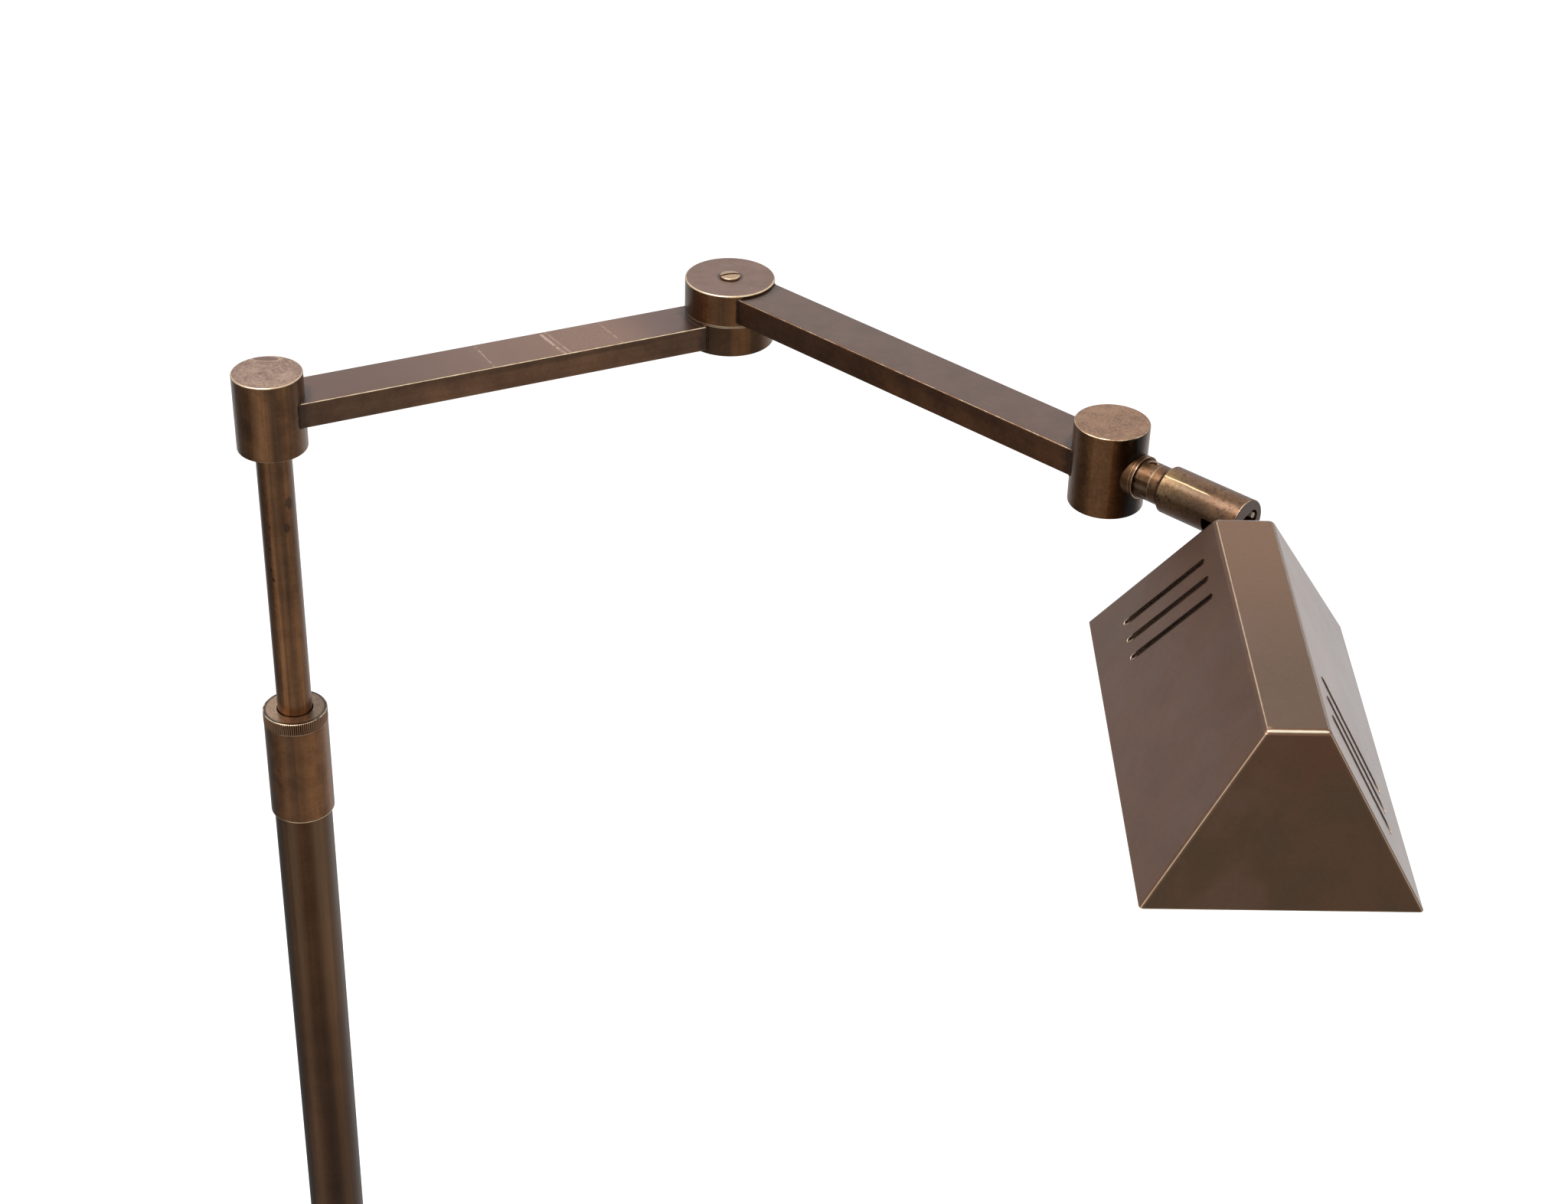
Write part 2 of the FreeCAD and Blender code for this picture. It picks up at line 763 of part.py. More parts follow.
def make_lower_hub():
    """Capped hub with its bearing bush."""
    ceiling = s.lower_hub_rise - s.hub_roof
    stock = turned("lower_hub_stock", [
        (s.hub_bore, -s.lower_hub_drop), (s.lower_hub_radius, -s.lower_hub_drop),
        (s.lower_hub_radius, s.lower_hub_rise), (0, s.lower_hub_rise), (0, ceiling),
        (s.hub_bore, ceiling)])
    soften(stock, s.arm_edge, [(s.lower_hub_radius, s.lower_hub_rise),
                               (s.lower_hub_radius, -s.lower_hub_drop)])
    window = wall_hole("lower_hub_window", s.lead_window, s.hub_bore, s.lower_hub_radius)
    keep(put(cut("lower_hub", stock, [window]), LOWER_ARM), "lower_hub")
    bore = s.rod_radius + s.running_fit
    outer = s.hub_bore - s.running_fit
    relief_end = s.bush_top - s.bush_lip
    relief_start = -s.lead_window - s.bush_lip / 2
    bush_bottom = -s.lower_hub_drop + s.bush_inset
    bush = turned("hub_bush_stock", [
        (bore, bush_bottom), (outer, bush_bottom), (outer, s.bush_top), (bore, s.bush_top),
        (bore, relief_end), (s.bush_relief, relief_end), (s.bush_relief, relief_start),
        (bore, relief_start)])
    bush_window = wall_hole("hub_bush_window", s.lead_window, s.bush_relief, s.hub_bore)
    keep(put(cut("hub_bush", bush, [bush_window]), LOWER_ARM), "hub_bush")


def make_lower_arm():
    """Flat tube with the lead inside."""
    tube = arm_tube("lower_arm_tube", s.lower_arm_length, s.lower_arm_width, s.lower_arm_depth,
                    NOTHING, s.lower_hub_radius, s.knuckle_radius)
    keep(put(tube, LOWER_ARM), "lower_arm_tube")
    arm_lead("lower_arm_lead", LOWER_ARM, s.lower_arm_length, s.lower_arm_depth,
             NOTHING, s.hub_bore + s.lead_inset, s.knuckle_cavity + s.lead_inset)


knuckle_bore = s.knuckle_screw_radius + s.running_fit
half_split = s.knuckle_split / 2


def make_lower_knuckle():
    """Lower half of the knuckle: lead chamber, friction disc's recess and nut recess."""
    nut_roof = -s.knuckle_drop + s.knuckle_floor - s.pocket_gap
    floor = -s.knuckle_drop + s.knuckle_floor
    recess_floor = s.part_gap / 2 - s.friction_disc_thickness
    recess_inner = s.friction_disc_inner - 2 * s.part_gap
    recess_outer = s.friction_disc_outer + 2 * s.part_gap
    nut_recess = s.knuckle_nut_corner + 2 * s.pocket_gap
    stock = turned("lower_knuckle_stock", [
        (knuckle_bore, nut_roof), (nut_recess, nut_roof), (nut_recess, -s.knuckle_drop),
        (s.knuckle_radius, -s.knuckle_drop), (s.knuckle_radius, -half_split),
        (recess_outer, -half_split), (recess_outer, recess_floor), (recess_inner, recess_floor),
        (recess_inner, -half_split), (s.knuckle_cavity, -half_split), (s.knuckle_cavity, floor),
        (s.knuckle_boss, floor), (s.knuckle_boss, -half_split), (knuckle_bore, -half_split)])
    soften(stock, s.arm_edge, [(s.knuckle_radius, -s.knuckle_drop)])
    window = wall_hole("lower_knuckle_window", s.lead_window, s.knuckle_cavity,
                       s.knuckle_radius, -s.split_above_lower_arm, -1)
    keep(put(cut("lower_knuckle", stock, [window]), KNUCKLE), "lower_knuckle")
    disc = ring("friction_disc", s.friction_disc_inner, s.friction_disc_outer, recess_floor,
                recess_floor + s.friction_disc_thickness)
    keep(put(disc, KNUCKLE), "friction_disc")


make_lower_hub()
make_lower_arm()
make_lower_knuckle()


# Upper arm

def make_upper_knuckle():
    """Upper half of the knuckle: lead chamber and the screw's counterbore."""
    roof = s.knuckle_rise - s.knuckle_roof
    seat = s.knuckle_rise - s.knuckle_counterbore
    head_room = s.knuckle_head_radius + s.part_gap
    stock = turned("upper_knuckle_stock", [
        (knuckle_bore, half_split), (s.knuckle_boss, half_split), (s.knuckle_boss, roof),
        (s.knuckle_cavity, roof), (s.knuckle_cavity, half_split), (s.knuckle_radius, half_split),
        (s.knuckle_radius, s.knuckle_rise), (head_room, s.knuckle_rise), (head_room, seat),
        (knuckle_bore, seat)])
    soften(stock, s.arm_edge, [(s.knuckle_radius, s.knuckle_rise)])
    window = wall_hole("upper_knuckle_window", s.lead_window, s.knuckle_cavity,
                       s.knuckle_radius, s.upper_arm_above_split)
    keep(put(cut("upper_knuckle", stock, [window]), UPPER_ARM), "upper_knuckle")


def make_knuckle_screw():
    """Slotted screw through the knuckle, with spring washer and nut below."""
    seat = s.knuckle_rise - s.knuckle_counterbore
    top = seat + s.knuckle_head_height
    bottom = -s.knuckle_drop
    dome = [(s.knuckle_head_radius * share, top - s.knuckle_head_dome * share * share)
            for share in (0.75, 0.5, 0.25)]
    stock = turned("knuckle_screw_stock", [
        (0, bottom), (s.knuckle_screw_radius, bottom), (s.knuckle_screw_radius, seat),
        (s.knuckle_head_radius, seat), (s.knuckle_head_radius, top - s.knuckle_head_dome)]
        + dome + [(0, top)])
    soften(stock, s.knuckle_head_edge, [(s.knuckle_head_radius, top - s.knuckle_head_dome)])
    slot = block("knuckle_screw_slot", 3 * s.knuckle_head_radius, s.screw_slot_width,
                 2 * s.screw_slot_width,
                 shift(x=-1.5 * s.knuckle_head_radius, y=-s.screw_slot_width / 2,
                       z=top - s.screw_slot_width))
    screw = cut("knuckle_screw", stock, [slot])
    keep(put(screw, UPPER_ARM, shift(yaw=s.screw_slot_angle)), "knuckle_screw")
    roof = -s.knuckle_drop + s.knuckle_floor - s.pocket_gap - s.part_gap
    washer = ring("knuckle_spring_washer", knuckle_bore, s.knuckle_nut_corner - s.pocket_gap,
                  roof - s.spring_washer_thickness, roof)
    keep(put(washer, UPPER_ARM), "knuckle_spring_washer")
    nut = hex_nut("knuckle_nut", s.knuckle_nut_corner, knuckle_bore,
                  roof - s.spring_washer_thickness - s.knuckle_nut_height, s.knuckle_nut_height)
    keep(put(nut, UPPER_ARM), "knuckle_nut")


def make_upper_arm():
    """Flat tube with the lead inside."""
    tube = arm_tube("upper_arm_tube", s.upper_arm_length, s.upper_arm_width, s.upper_arm_depth,
                    s.upper_arm_above_split, s.knuckle_radius, s.upper_hub_radius)
    keep(put(tube, UPPER_ARM), "upper_arm_tube")
    arm_lead("upper_arm_lead", UPPER_ARM, s.upper_arm_length, s.upper_arm_depth,
             s.upper_arm_above_split, s.knuckle_cavity + s.lead_inset,
             s.upper_hub_bore + s.lead_inset)


def make_upper_hub():
    """Hollow hub, closed by a plug from below."""
    ceiling = s.upper_hub_rise - s.upper_hub_roof
    stock = turned("upper_hub_stock", [
        (s.upper_hub_bore, -s.upper_hub_drop), (s.upper_hub_radius, -s.upper_hub_drop),
        (s.upper_hub_radius, s.upper_hub_rise), (0, s.upper_hub_rise), (0, ceiling),
        (s.upper_hub_bore, ceiling)])
    soften(stock, s.arm_edge, [(s.upper_hub_radius, s.upper_hub_rise),
                               (s.upper_hub_radius, -s.upper_hub_drop)])
    arm_window = wall_hole("upper_hub_window", s.lead_window, s.upper_hub_bore,
                           s.upper_hub_radius, NOTHING, -1)
    stub_hole = wall_hole("upper_hub_stub_hole", s.stub_thread + s.braze_gap, s.upper_hub_bore,
                          s.upper_hub_radius)
    keep(put(cut("upper_hub", stock, [arm_window, stub_hole]), UPPER_HUB), "upper_hub")
    plug = turned("upper_hub_plug", [
        (0, -s.upper_hub_drop), (s.upper_hub_bore - s.running_fit, -s.upper_hub_drop),
        (s.upper_hub_bore - s.running_fit, -s.upper_hub_drop + s.upper_hub_plug),
        (0, -s.upper_hub_drop + s.upper_hub_plug)])
    keep(put(plug, UPPER_HUB), "upper_hub_plug")


def make_stub():
    """Ring and stub screwed into the hub, with flats, a tommy hole, a groove and a seal."""
    ring_stock = ring("stub_ring_stock", s.stub_thread + s.part_gap, s.stub_ring_radius,
                      s.upper_hub_bore, s.stub_ring_end)
    put(ring_stock, STAND, ALONG_X)
    hub = rod("stub_ring_cope", s.upper_hub_radius + s.braze_gap, 4 * s.stub_ring_radius,
              shift(z=-2 * s.stub_ring_radius))
    keep(put(cut("stub_ring", ring_stock, [hub]), UPPER_HUB), "stub_ring")
    thread_start = s.upper_hub_bore - s.thread_show
    groove = s.spigot_radius - s.grub_groove_depth
    groove_start = s.grub_place - s.grub_radius
    groove_end = s.grub_place + s.grub_radius
    seal_floor = s.spigot_radius - 2 * s.seal_section - s.running_fit
    seal_start = s.seal_place - s.seal_section - s.pocket_gap
    seal_end = s.seal_place + s.seal_section + s.pocket_gap
    stock = turned("head_stub_stock", [
        (s.stub_bore, thread_start), (s.stub_thread, thread_start),
        (s.stub_thread, s.stub_ring_end + s.part_gap),
        (s.stub_radius, s.stub_ring_end + s.part_gap), (s.stub_radius, s.stub_end),
        (s.spigot_radius, s.stub_end), (s.spigot_radius, groove_start), (groove, groove_start),
        (groove, groove_end), (s.spigot_radius, groove_end), (s.spigot_radius, seal_start),
        (seal_floor, seal_start), (seal_floor, seal_end), (s.spigot_radius, seal_end),
        (s.spigot_radius, s.spigot_end), (s.stub_bore, s.spigot_end)])
    put(stock, STAND, ALONG_X)
    flat_length = s.stub_flats_end - s.stub_ring_end
    flats = [
        block("stub_flat_%d" % i, flat_length, s.stub_radius, 3 * s.stub_radius,
              shift(x=s.stub_ring_end, y=side, z=-1.5 * s.stub_radius))
        for i, side in enumerate((s.stub_flats / 2, -s.stub_flats / 2 - s.stub_radius))]
    tommy = rod("tommy_hole", s.tommy_hole_radius, s.stub_radius,
                shift(x=s.tommy_hole_place, z=s.stub_bore + PAST))
    keep(put(cut("head_stub", stock, flats + [tommy]), UPPER_HUB), "head_stub")
    seal = shape_of("Part::Torus", "stub_seal",
                    {"Radius1": s.spigot_radius - s.seal_section - s.running_fit / 2,
                     "Radius2": s.seal_section})
    keep(put(seal, UPPER_HUB, shift(x=s.seal_place, pitch=90)), "stub_seal")


make_upper_knuckle()
make_knuckle_screw()
make_upper_arm()
make_upper_hub()
make_stub()


# Head sleeve

def make_head_sleeve():
    """Sleeve that turns on the stub, slotted at its end for the shade's lug."""
    bore = s.spigot_radius + s.running_fit
    start = s.stub_end + s.part_gap
    stock = turned("head_sleeve_stock", [
        (bore, start), (s.sleeve_nose_radius, start),
        (s.sleeve_radius, start + s.sleeve_nose_length), (s.sleeve_radius, s.sleeve_end),
        (0, s.sleeve_end), (0, s.slot_start), (bore, s.slot_start)])
    soften(stock, s.sleeve_edge, [(s.sleeve_radius, s.sleeve_end)])
    put(stock, STAND, ALONG_X)
    length = s.sleeve_end - s.slot_start + 2 * PAST
    half = s.slot_width / 2
    floor = s.slot_reach - half
    round_floor = rod("slot_round", half, length, shift(x=s.slot_start, y=floor, pitch=90))
    opening = block("slot_opening", length, floor + 2 * s.sleeve_radius, s.slot_width,
                    shift(x=s.slot_start, y=-2 * s.sleeve_radius, z=-half))
    shank_hole = rod("pivot_clearance_hole", s.pivot_radius + s.running_fit, s.sleeve_radius,
                     shift(x=s.pivot_place, y=-s.pivot_offset, z=-s.sleeve_radius))
    head_hole = rod("pivot_head_hole", s.pivot_head_radius + s.sliding_fit, s.sleeve_radius,
                    shift(x=s.pivot_place, y=-s.pivot_offset, z=pivot_seat - s.sleeve_radius))
    thread = rod("pivot_thread_hole", s.pivot_radius + s.braze_gap, half + s.pivot_thread_length,
                 shift(x=s.pivot_place, y=-s.pivot_offset))
    grub = rod("grub_hole", s.grub_radius + s.braze_gap,
               s.sleeve_radius - s.spigot_radius + 2 * PAST,
               shift(x=s.grub_place, z=-s.sleeve_radius - PAST))
    tools = [round_floor, opening, shank_hole, head_hole, thread, grub]
    keep(put(cut("head_sleeve", stock, tools), HEAD), "head_sleeve")


pivot_seat = -s.slot_width / 2 - s.pivot_grip


def make_head_screws():
    """Grub screw that holds the sleeve on the stub, and the pivot screw."""
    tip = -(s.spigot_radius - s.grub_groove_depth + s.part_gap)
    shoulder = -(s.spigot_radius + s.running_fit + s.part_gap)
    end = -(s.sleeve_radius - s.pocket_gap)
    grub = turned("sleeve_grub_stock", [
        (0, end), (s.grub_radius, end), (s.grub_radius, shoulder), (s.grub_tip_radius, shoulder),
        (s.grub_tip_radius, tip), (0, tip)])
    grub_slot = block("sleeve_grub_slot", 4 * s.grub_radius, s.grub_slot_width, s.grub_slot_depth,
                      shift(x=-2 * s.grub_radius, y=-s.grub_slot_width / 2, z=end))
    keep(put(cut("sleeve_grub_screw", grub, [grub_slot]), HEAD, shift(x=s.grub_place)),
         "sleeve_grub_screw")
    head_end = pivot_seat - s.pivot_head_height
    pivot_tip = s.slot_width / 2 + s.pivot_thread_length - 2 * s.part_gap
    pivot = turned("head_pivot_stock", [
        (0, head_end), (s.pivot_head_radius, head_end), (s.pivot_head_radius, pivot_seat),
        (s.pivot_radius, pivot_seat), (s.pivot_radius, pivot_tip), (0, pivot_tip)])
    pivot_slot = block("head_pivot_slot", 3 * s.pivot_head_radius, s.pivot_slot,
                       s.pivot_slot + PAST,
                       shift(x=-1.5 * s.pivot_head_radius, y=-s.pivot_slot / 2,
                             z=head_end - PAST))
    keep(put(cut("head_pivot_screw", pivot, [pivot_slot]), PIVOT), "head_pivot_screw")


def make_head_lead():
    """Heat proof lead that passes the pivot on the closed side of the slot."""
    start = s.spigot_end + s.lead_inset
    lead = rod("head_lead", s.head_lead_radius, s.sleeve_end - start - s.lead_inset / 2)
    keep(put(lead, HEAD, shift(x=start, y=s.head_lead_offset, pitch=90)), "head_lead")


make_head_sleeve()
make_head_screws()
make_head_lead()


# Lug that carries the shade

def make_lug():
    """Flat eye in the slot, round shank and flange on the shade's hip, and a threaded end."""
    half = s.lug_thickness / 2
    eye = rod("lug_eye", s.lug_width / 2, s.lug_thickness, shift(z=-half))
    plate = block("lug_plate", s.lug_plate_length, s.lug_width, s.lug_thickness,
                  shift(y=-s.lug_width / 2, z=-half))
    flange_start = s.lug_reach - s.lug_flange_thickness
    thread_length = s.shade_sheet + s.lug_washer_thickness + s.lug_nut_height + s.thread_show
    shank = turned("lug_shank", [
        (0, s.lug_shank_start), (s.lug_shank_radius, s.lug_shank_start),
        (s.lug_shank_radius, flange_start), (s.lug_flange_radius, flange_start),
        (s.lug_flange_radius, s.lug_reach), (s.lug_thread_radius, s.lug_reach),
        (s.lug_thread_radius, s.lug_reach + thread_length), (0, s.lug_reach + thread_length)])
    put(shank, STAND, shift(pitch=s.lug_lean) + " * " + ALONG_X)
    hole = rod("lug_hole", s.pivot_radius + s.running_fit, 2 * s.lug_thickness,
               shift(z=-s.lug_thickness))
    lug = cut("shade_lug", joined("shade_lug_stock", [eye, plate, shank]), [hole])
    keep(put(lug, LUG), "shade_lug")
    bore = s.pivot_radius + s.running_fit
    play = (s.slot_width - s.lug_thickness - 2 * s.pivot_washer_thickness) / 4
    bottoms = (half + play, -half - play - s.pivot_washer_thickness)
    washers = [
        ring("pivot_washer_%d" % i, bore, s.lug_width / 2 - s.pocket_gap, bottom,
             bottom + s.pivot_washer_thickness)
        for i, bottom in enumerate(bottoms)]
    keep(put(joined("pivot_washers", washers), LUG), "pivot_washers")
    inside = s.lug_reach + s.shade_sheet
    nut_bottom = inside + s.lug_washer_thickness
    thread_bore = s.lug_thread_radius + s.part_gap
    washer = ring("lug_washer", thread_bore, s.lug_washer_radius, inside, nut_bottom)
    keep(put(washer, SHANK, ALONG_X), "lug_washer")
    nut = hex_nut("lug_nut", s.lug_nut_corner, thread_bore, nut_bottom, s.lug_nut_height)
    keep(put(nut, SHANK, ALONG_X), "lug_nut")


make_lug()


# Shade

EDGE_STEPS = ((1.0, 0.0), (0.4, 0.28), (0.0, 1.0))


def rounded_rectangle(body, name, half_length, half_width, radius, height):
    """A bound sketch of a rectangle with round corners, at a height over the rim."""
    sketch = body.newObject("Sketcher::SketchObject", name)
    sketch.AttachmentSupport = [(plane_of(body, "XY_Plane"), "")]
    sketch.MapMode = "FlatFace"
    sketch.setExpression("AttachmentOffset", shift(z=height))
    centre_x = half_length - radius
    centre_y = half_width - radius
    corners = ((centre_x, centre_y, 0), (-centre_x, centre_y, 90),
               (-centre_x, -centre_y, 180), (centre_x, -centre_y, 270))
    up = FreeCAD.Vector(0, 0, 1)
    arcs = []
    for x, y, first in corners:
        circle = Part.Circle(FreeCAD.Vector(number(x), number(y), 0), up, number(radius))
        arcs.append(Part.ArcOfCircle(circle, math.radians(first), math.radians(first + 90)))
    for arc in arcs:
        sketch.addGeometry(arc, False)
    for i in range(4):
        ending = arcs[i].EndPoint
        sketch.addGeometry(Part.LineSegment(ending, arcs[(i + 1) % 4].StartPoint), False)
    for i in range(4):
        sketch.addConstraint(Sketcher.Constraint("Coincident", i, 2, 4 + i, 1))
        sketch.addConstraint(Sketcher.Constraint("Coincident", 4 + i, 2, (i + 1) % 4, 1))
    for i, (x, y, first) in enumerate(corners):
        bind(sketch, "DistanceX", i, 3, x)
        bind(sketch, "DistanceY", i, 3, y)
        turn = sketch.addConstraint(Sketcher.Constraint("Radius", i, number(radius)))
        sketch.setExpression("Constraints[%d]" % turn, radius.text)
        level, upright = "Horizontal", "Vertical"
        if first in (90, 270):
            level, upright = upright, level
        sketch.addConstraint(Sketcher.Constraint(level, i, 1, i, 3))
        sketch.addConstraint(Sketcher.Constraint(upright, i, 2, i, 3))
    return sketch


def half_length_at(height):
    """Half the shade's outer length at a height over the rim."""
    return s.shade_length / 2 - hip_slope * height


def half_width_at(height):
    """Half the shade's outer width at a height over the rim."""
    return s.shade_width / 2 - side_slope * height


def tent(body, name, feature, bottom, top, inset_length, inset_width, radius, edge):
    """Ruled tent from the rim to the ridge, its top edge rounded in steps."""
    sections = [rounded_rectangle(body, name + "_rim", half_length_at(bottom) - inset_length,
                                  half_width_at(bottom) - inset_width, radius, bottom)]
    for i, (below, inward) in enumerate(EDGE_STEPS):
        height = top - below * edge
        sections.append(rounded_rectangle(
            body, name + "_ridge_%d" % i,
            half_length_at(height) - inset_length - inward * edge,
            half_width_at(height) - inset_width - inward * edge / 2, radius, height))
    doc.recompute()
    loft = body.newObject(feature, name)
    loft.Profile = sections[0]
    loft.Sections = [(section, [""]) for section in sections[1:]]
    loft.Ruled = True
    doc.recompute()
    return loft


def vent_cutters(name, side_turn, place, lean):
    """Slanted slots with round ends, drawn on one sloping side."""
    slope_angle = angle_of(ONE / side_slope)
    slope = root(side_slope * side_slope + ONE)
    low = s.vent_bottom / slope
    along = (s.vent_top - s.vent_bottom) / Length("cos(%s)" % lean.text,
                                                   math.cos(math.radians(lean.value)))
    depth = 6 * s.shade_sheet
    cutters = []
    for i in range(int(s.vent_count.value)):
        top_place = place + i * s.vent_pitch
        face = shift(yaw=side_turn) + " * " + shift(y=-s.shade_width / 2, roll=slope_angle)
        spot = face + " * " + shift(x=-top_place, y=s.vent_top, z=-depth / 2, yaw=-90 - lean)
        cutters.append(block("%s_%d_slot" % (name, i), along, s.vent_width, depth,
                             spot + " * " + shift(y=-s.vent_width / 2)))
        for end, reach in (("top", NOTHING), ("bottom", along)):
            cutters.append(rod("%s_%d_%s" % (name, i, end), s.vent_width / 2, depth,
                               spot + " * " + shift(x=reach)))
    return cutters


def make_shade_shell():
    """Folded sheet shade with vents in both sides and the lug's hole in one end."""
    body = doc.addObject("PartDesign::Body", "shade_shell_stock")
    radius = s.shade_corner_radius
    tent(body, "shade_outside", "PartDesign::AdditiveLoft", NOTHING, s.shade_height,
         NOTHING, NOTHING, radius, radius)
    across_length = s.shade_sheet * root(hip_slope * hip_slope + ONE)
    across_width = s.shade_sheet * root(side_slope * side_slope + ONE)
    inner_radius = radius - s.shade_sheet
    tent(body, "shade_inside", "PartDesign::SubtractiveLoft", -s.shade_sheet,
         s.shade_height - s.shade_sheet, across_length, across_width, inner_radius, inner_radius)
    hole = rod("shade_lug_hole", s.lug_thread_radius + s.part_gap, 6 * s.shade_sheet,
               shift(x=-hip_foot, z=s.lug_height_on_shade, pitch=angle_of(hip_slope))
               + " * " + ALONG_X + " * " + shift(z=-3 * s.shade_sheet))
    vents = vent_cutters("left_vent", 0, s.left_vent_place, s.left_vent_lean)
    vents += vent_cutters("right_vent", 180, s.right_vent_place, s.right_vent_lean)
    keep(put(cut("shade_shell", body, [hole] + vents), SHADE), "shade_shell")


make_shade_shell()


# Lamp carrier inside the shade

ridge_under = s.shade_height - s.shade_sheet
bar_under = s.bracket_height - s.bracket_sheet
reflector_over = s.bracket_height + s.reflector_sheet


def make_reflector():
    """Bright liner a little inside the shade, clamped between the studs and the bracket."""
    body = doc.addObject("PartDesign::Body", "reflector_stock")
    along = root(hip_slope * hip_slope + ONE)
    across = root(side_slope * side_slope + ONE)
    outside = s.shade_sheet + s.reflector_gap
    inside = outside + s.reflector_sheet
    tent(body, "reflector_outside", "PartDesign::AdditiveLoft", s.reflector_bottom,
         reflector_over, outside * along, outside * across, s.reflector_corner, s.reflector_corner)
    inner_corner = s.reflector_corner - s.reflector_sheet
    tent(body, "reflector_inside", "PartDesign::SubtractiveLoft",
         s.reflector_bottom - s.reflector_sheet, s.bracket_height,
         inside * along, inside * across, inner_corner, inner_corner)
    holes = [
        rod("reflector_hole_%d" % i, s.stud_radius + s.part_gap, 6 * s.reflector_sheet,
            shift(x=place, z=s.bracket_height - 3 * s.reflector_sheet))
        for i, place in enumerate((-s.stud_spacing / 2, s.stud_spacing / 2))]
    holes.append(rod("reflector_lug_hole", s.lug_washer_radius + s.pocket_gap,
                     10 * s.shade_sheet,
                     shift(x=-hip_foot, z=s.lug_height_on_shade, pitch=angle_of(hip_slope))
                     + " * " + ALONG_X))
    keep(put(cut("reflector", body, holes), SHADE), "reflector")


def make_bracket():
    """Bar with a leg at each end, hung from two studs under the ridge."""
    half = s.bracket_length / 2
    side = -s.bracket_width / 2
    bar = block("bracket_bar", s.bracket_length, s.bracket_width, s.bracket_sheet,
                shift(x=-half, y=side, z=bar_under))
    legs = [
        block("bracket_leg_%d" % i, s.bracket_sheet, s.bracket_width, s.bracket_leg,
              shift(x=place, y=side, z=s.bracket_height - s.bracket_leg))
        for i, place in enumerate((-half, half - s.bracket_sheet))]
    holes = [
        rod("bracket_hole_%d" % i, s.stud_radius + s.part_gap, 3 * s.bracket_sheet,
            shift(x=place, z=bar_under - s.bracket_sheet))
        for i, place in enumerate((-s.stud_spacing / 2, s.stud_spacing / 2))]
    for i, height in enumerate(screw_heights):
        holes.append(rod("bracket_screw_hole_%d" % i, s.holder_screw_radius + s.part_gap,
                         s.bracket_length + 2 * PAST,
                         shift(x=-half - PAST, z=height, pitch=90)))
    keep(put(cut("lamp_bracket", joined("bracket_stock", [bar] + legs), holes), SHADE),
         "lamp_bracket")
    stud_end = bar_under - s.stud_nut_height - s.thread_show
    studs = []
    nuts = []
    for i, place in enumerate((-s.stud_spacing / 2, s.stud_spacing / 2)):
        stud = turned("bracket_stud_%d" % i, [
            (0, stud_end), (s.stud_radius, stud_end), (s.stud_radius, reflector_over),
            (s.stud_shoulder, reflector_over), (s.stud_shoulder, ridge_under), (0, ridge_under)])
        studs.append(put(stud, STAND, shift(x=place)))
        nut = hex_nut("bracket_nut_%d" % i, s.stud_nut_corner, s.stud_radius + s.part_gap,
                      bar_under - s.stud_nut_height, s.stud_nut_height)
        nuts.append(put(nut, STAND, shift(x=place)))
    keep(put(joined("bracket_studs", studs), SHADE), "bracket_studs")
    keep(put(joined("bracket_nuts", nuts), SHADE), "bracket_nuts")


leg_inside = s.bracket_length / 2 - s.bracket_sheet
screw_heights = (s.bulb_height - s.holder_screw_spacing / 2,
                 s.bulb_height + s.holder_screw_spacing / 2)


def make_lampholders():
    """Ceramic holders on the bracket's legs, with their screws, and the double ended bulb."""
    screws = []
    for side, turn in (("rear", 180), ("front", 0)):
        blank = block(side + "_holder_blank", s.holder_length, s.holder_width, s.holder_height,
                      shift(x=leg_inside - s.holder_length, y=-s.holder_width / 2,
                            z=s.bulb_height - s.holder_height / 2))
        recess = rod(side + "_holder_recess", s.bulb_cap_radius + s.part_gap,
                     s.holder_recess + PAST,
                     shift(x=leg_inside - s.holder_length - PAST, z=s.bulb_height, pitch=90))
        holes = [
            rod("%s_holder_hole_%d" % (side, i), s.holder_screw_radius + s.part_gap,
                s.holder_length / 2 + PAST,
                shift(x=leg_inside - s.holder_length / 2, z=height, pitch=90))
            for i, height in enumerate(screw_heights)]
        holder = cut(side + "_lampholder", blank, [recess] + holes)
        keep(put(holder, SHADE, shift(yaw=turn)), side + "_lampholder")
        for i, height in enumerate(screw_heights):
            tip = leg_inside - s.holder_length / 2 + s.pocket_gap
            outside = leg_inside + s.bracket_sheet
            head_end = outside + s.holder_head_height
            screw = turned("%s_holder_screw_%d" % (side, i), [
                (0, tip), (s.holder_screw_radius, tip), (s.holder_screw_radius, outside),
                (s.holder_head_radius, outside), (s.holder_head_radius, head_end), (0, head_end)])
            screws.append(put(screw, STAND, shift(yaw=turn) + " * " + shift(z=height, pitch=90)))
    keep(put(joined("holder_screws", screws), SHADE), "holder_screws")
    half = s.bulb_length / 2
    glass = s.bulb_glass_length / 2
    bulb = turned("bulb", [
        (0, -half), (s.bulb_cap_radius, -half), (s.bulb_cap_radius, -glass - s.bulb_shoulder),
        (s.bulb_radius, -glass), (s.bulb_radius, glass),
        (s.bulb_cap_radius, glass + s.bulb_shoulder), (s.bulb_cap_radius, half), (0, half)])
    keep(put(bulb, SHADE, shift(z=s.bulb_height, pitch=90)), "bulb")


make_reflector()
make_bracket()
make_lampholders()


# Foot switch in the base, measured from the cover's top

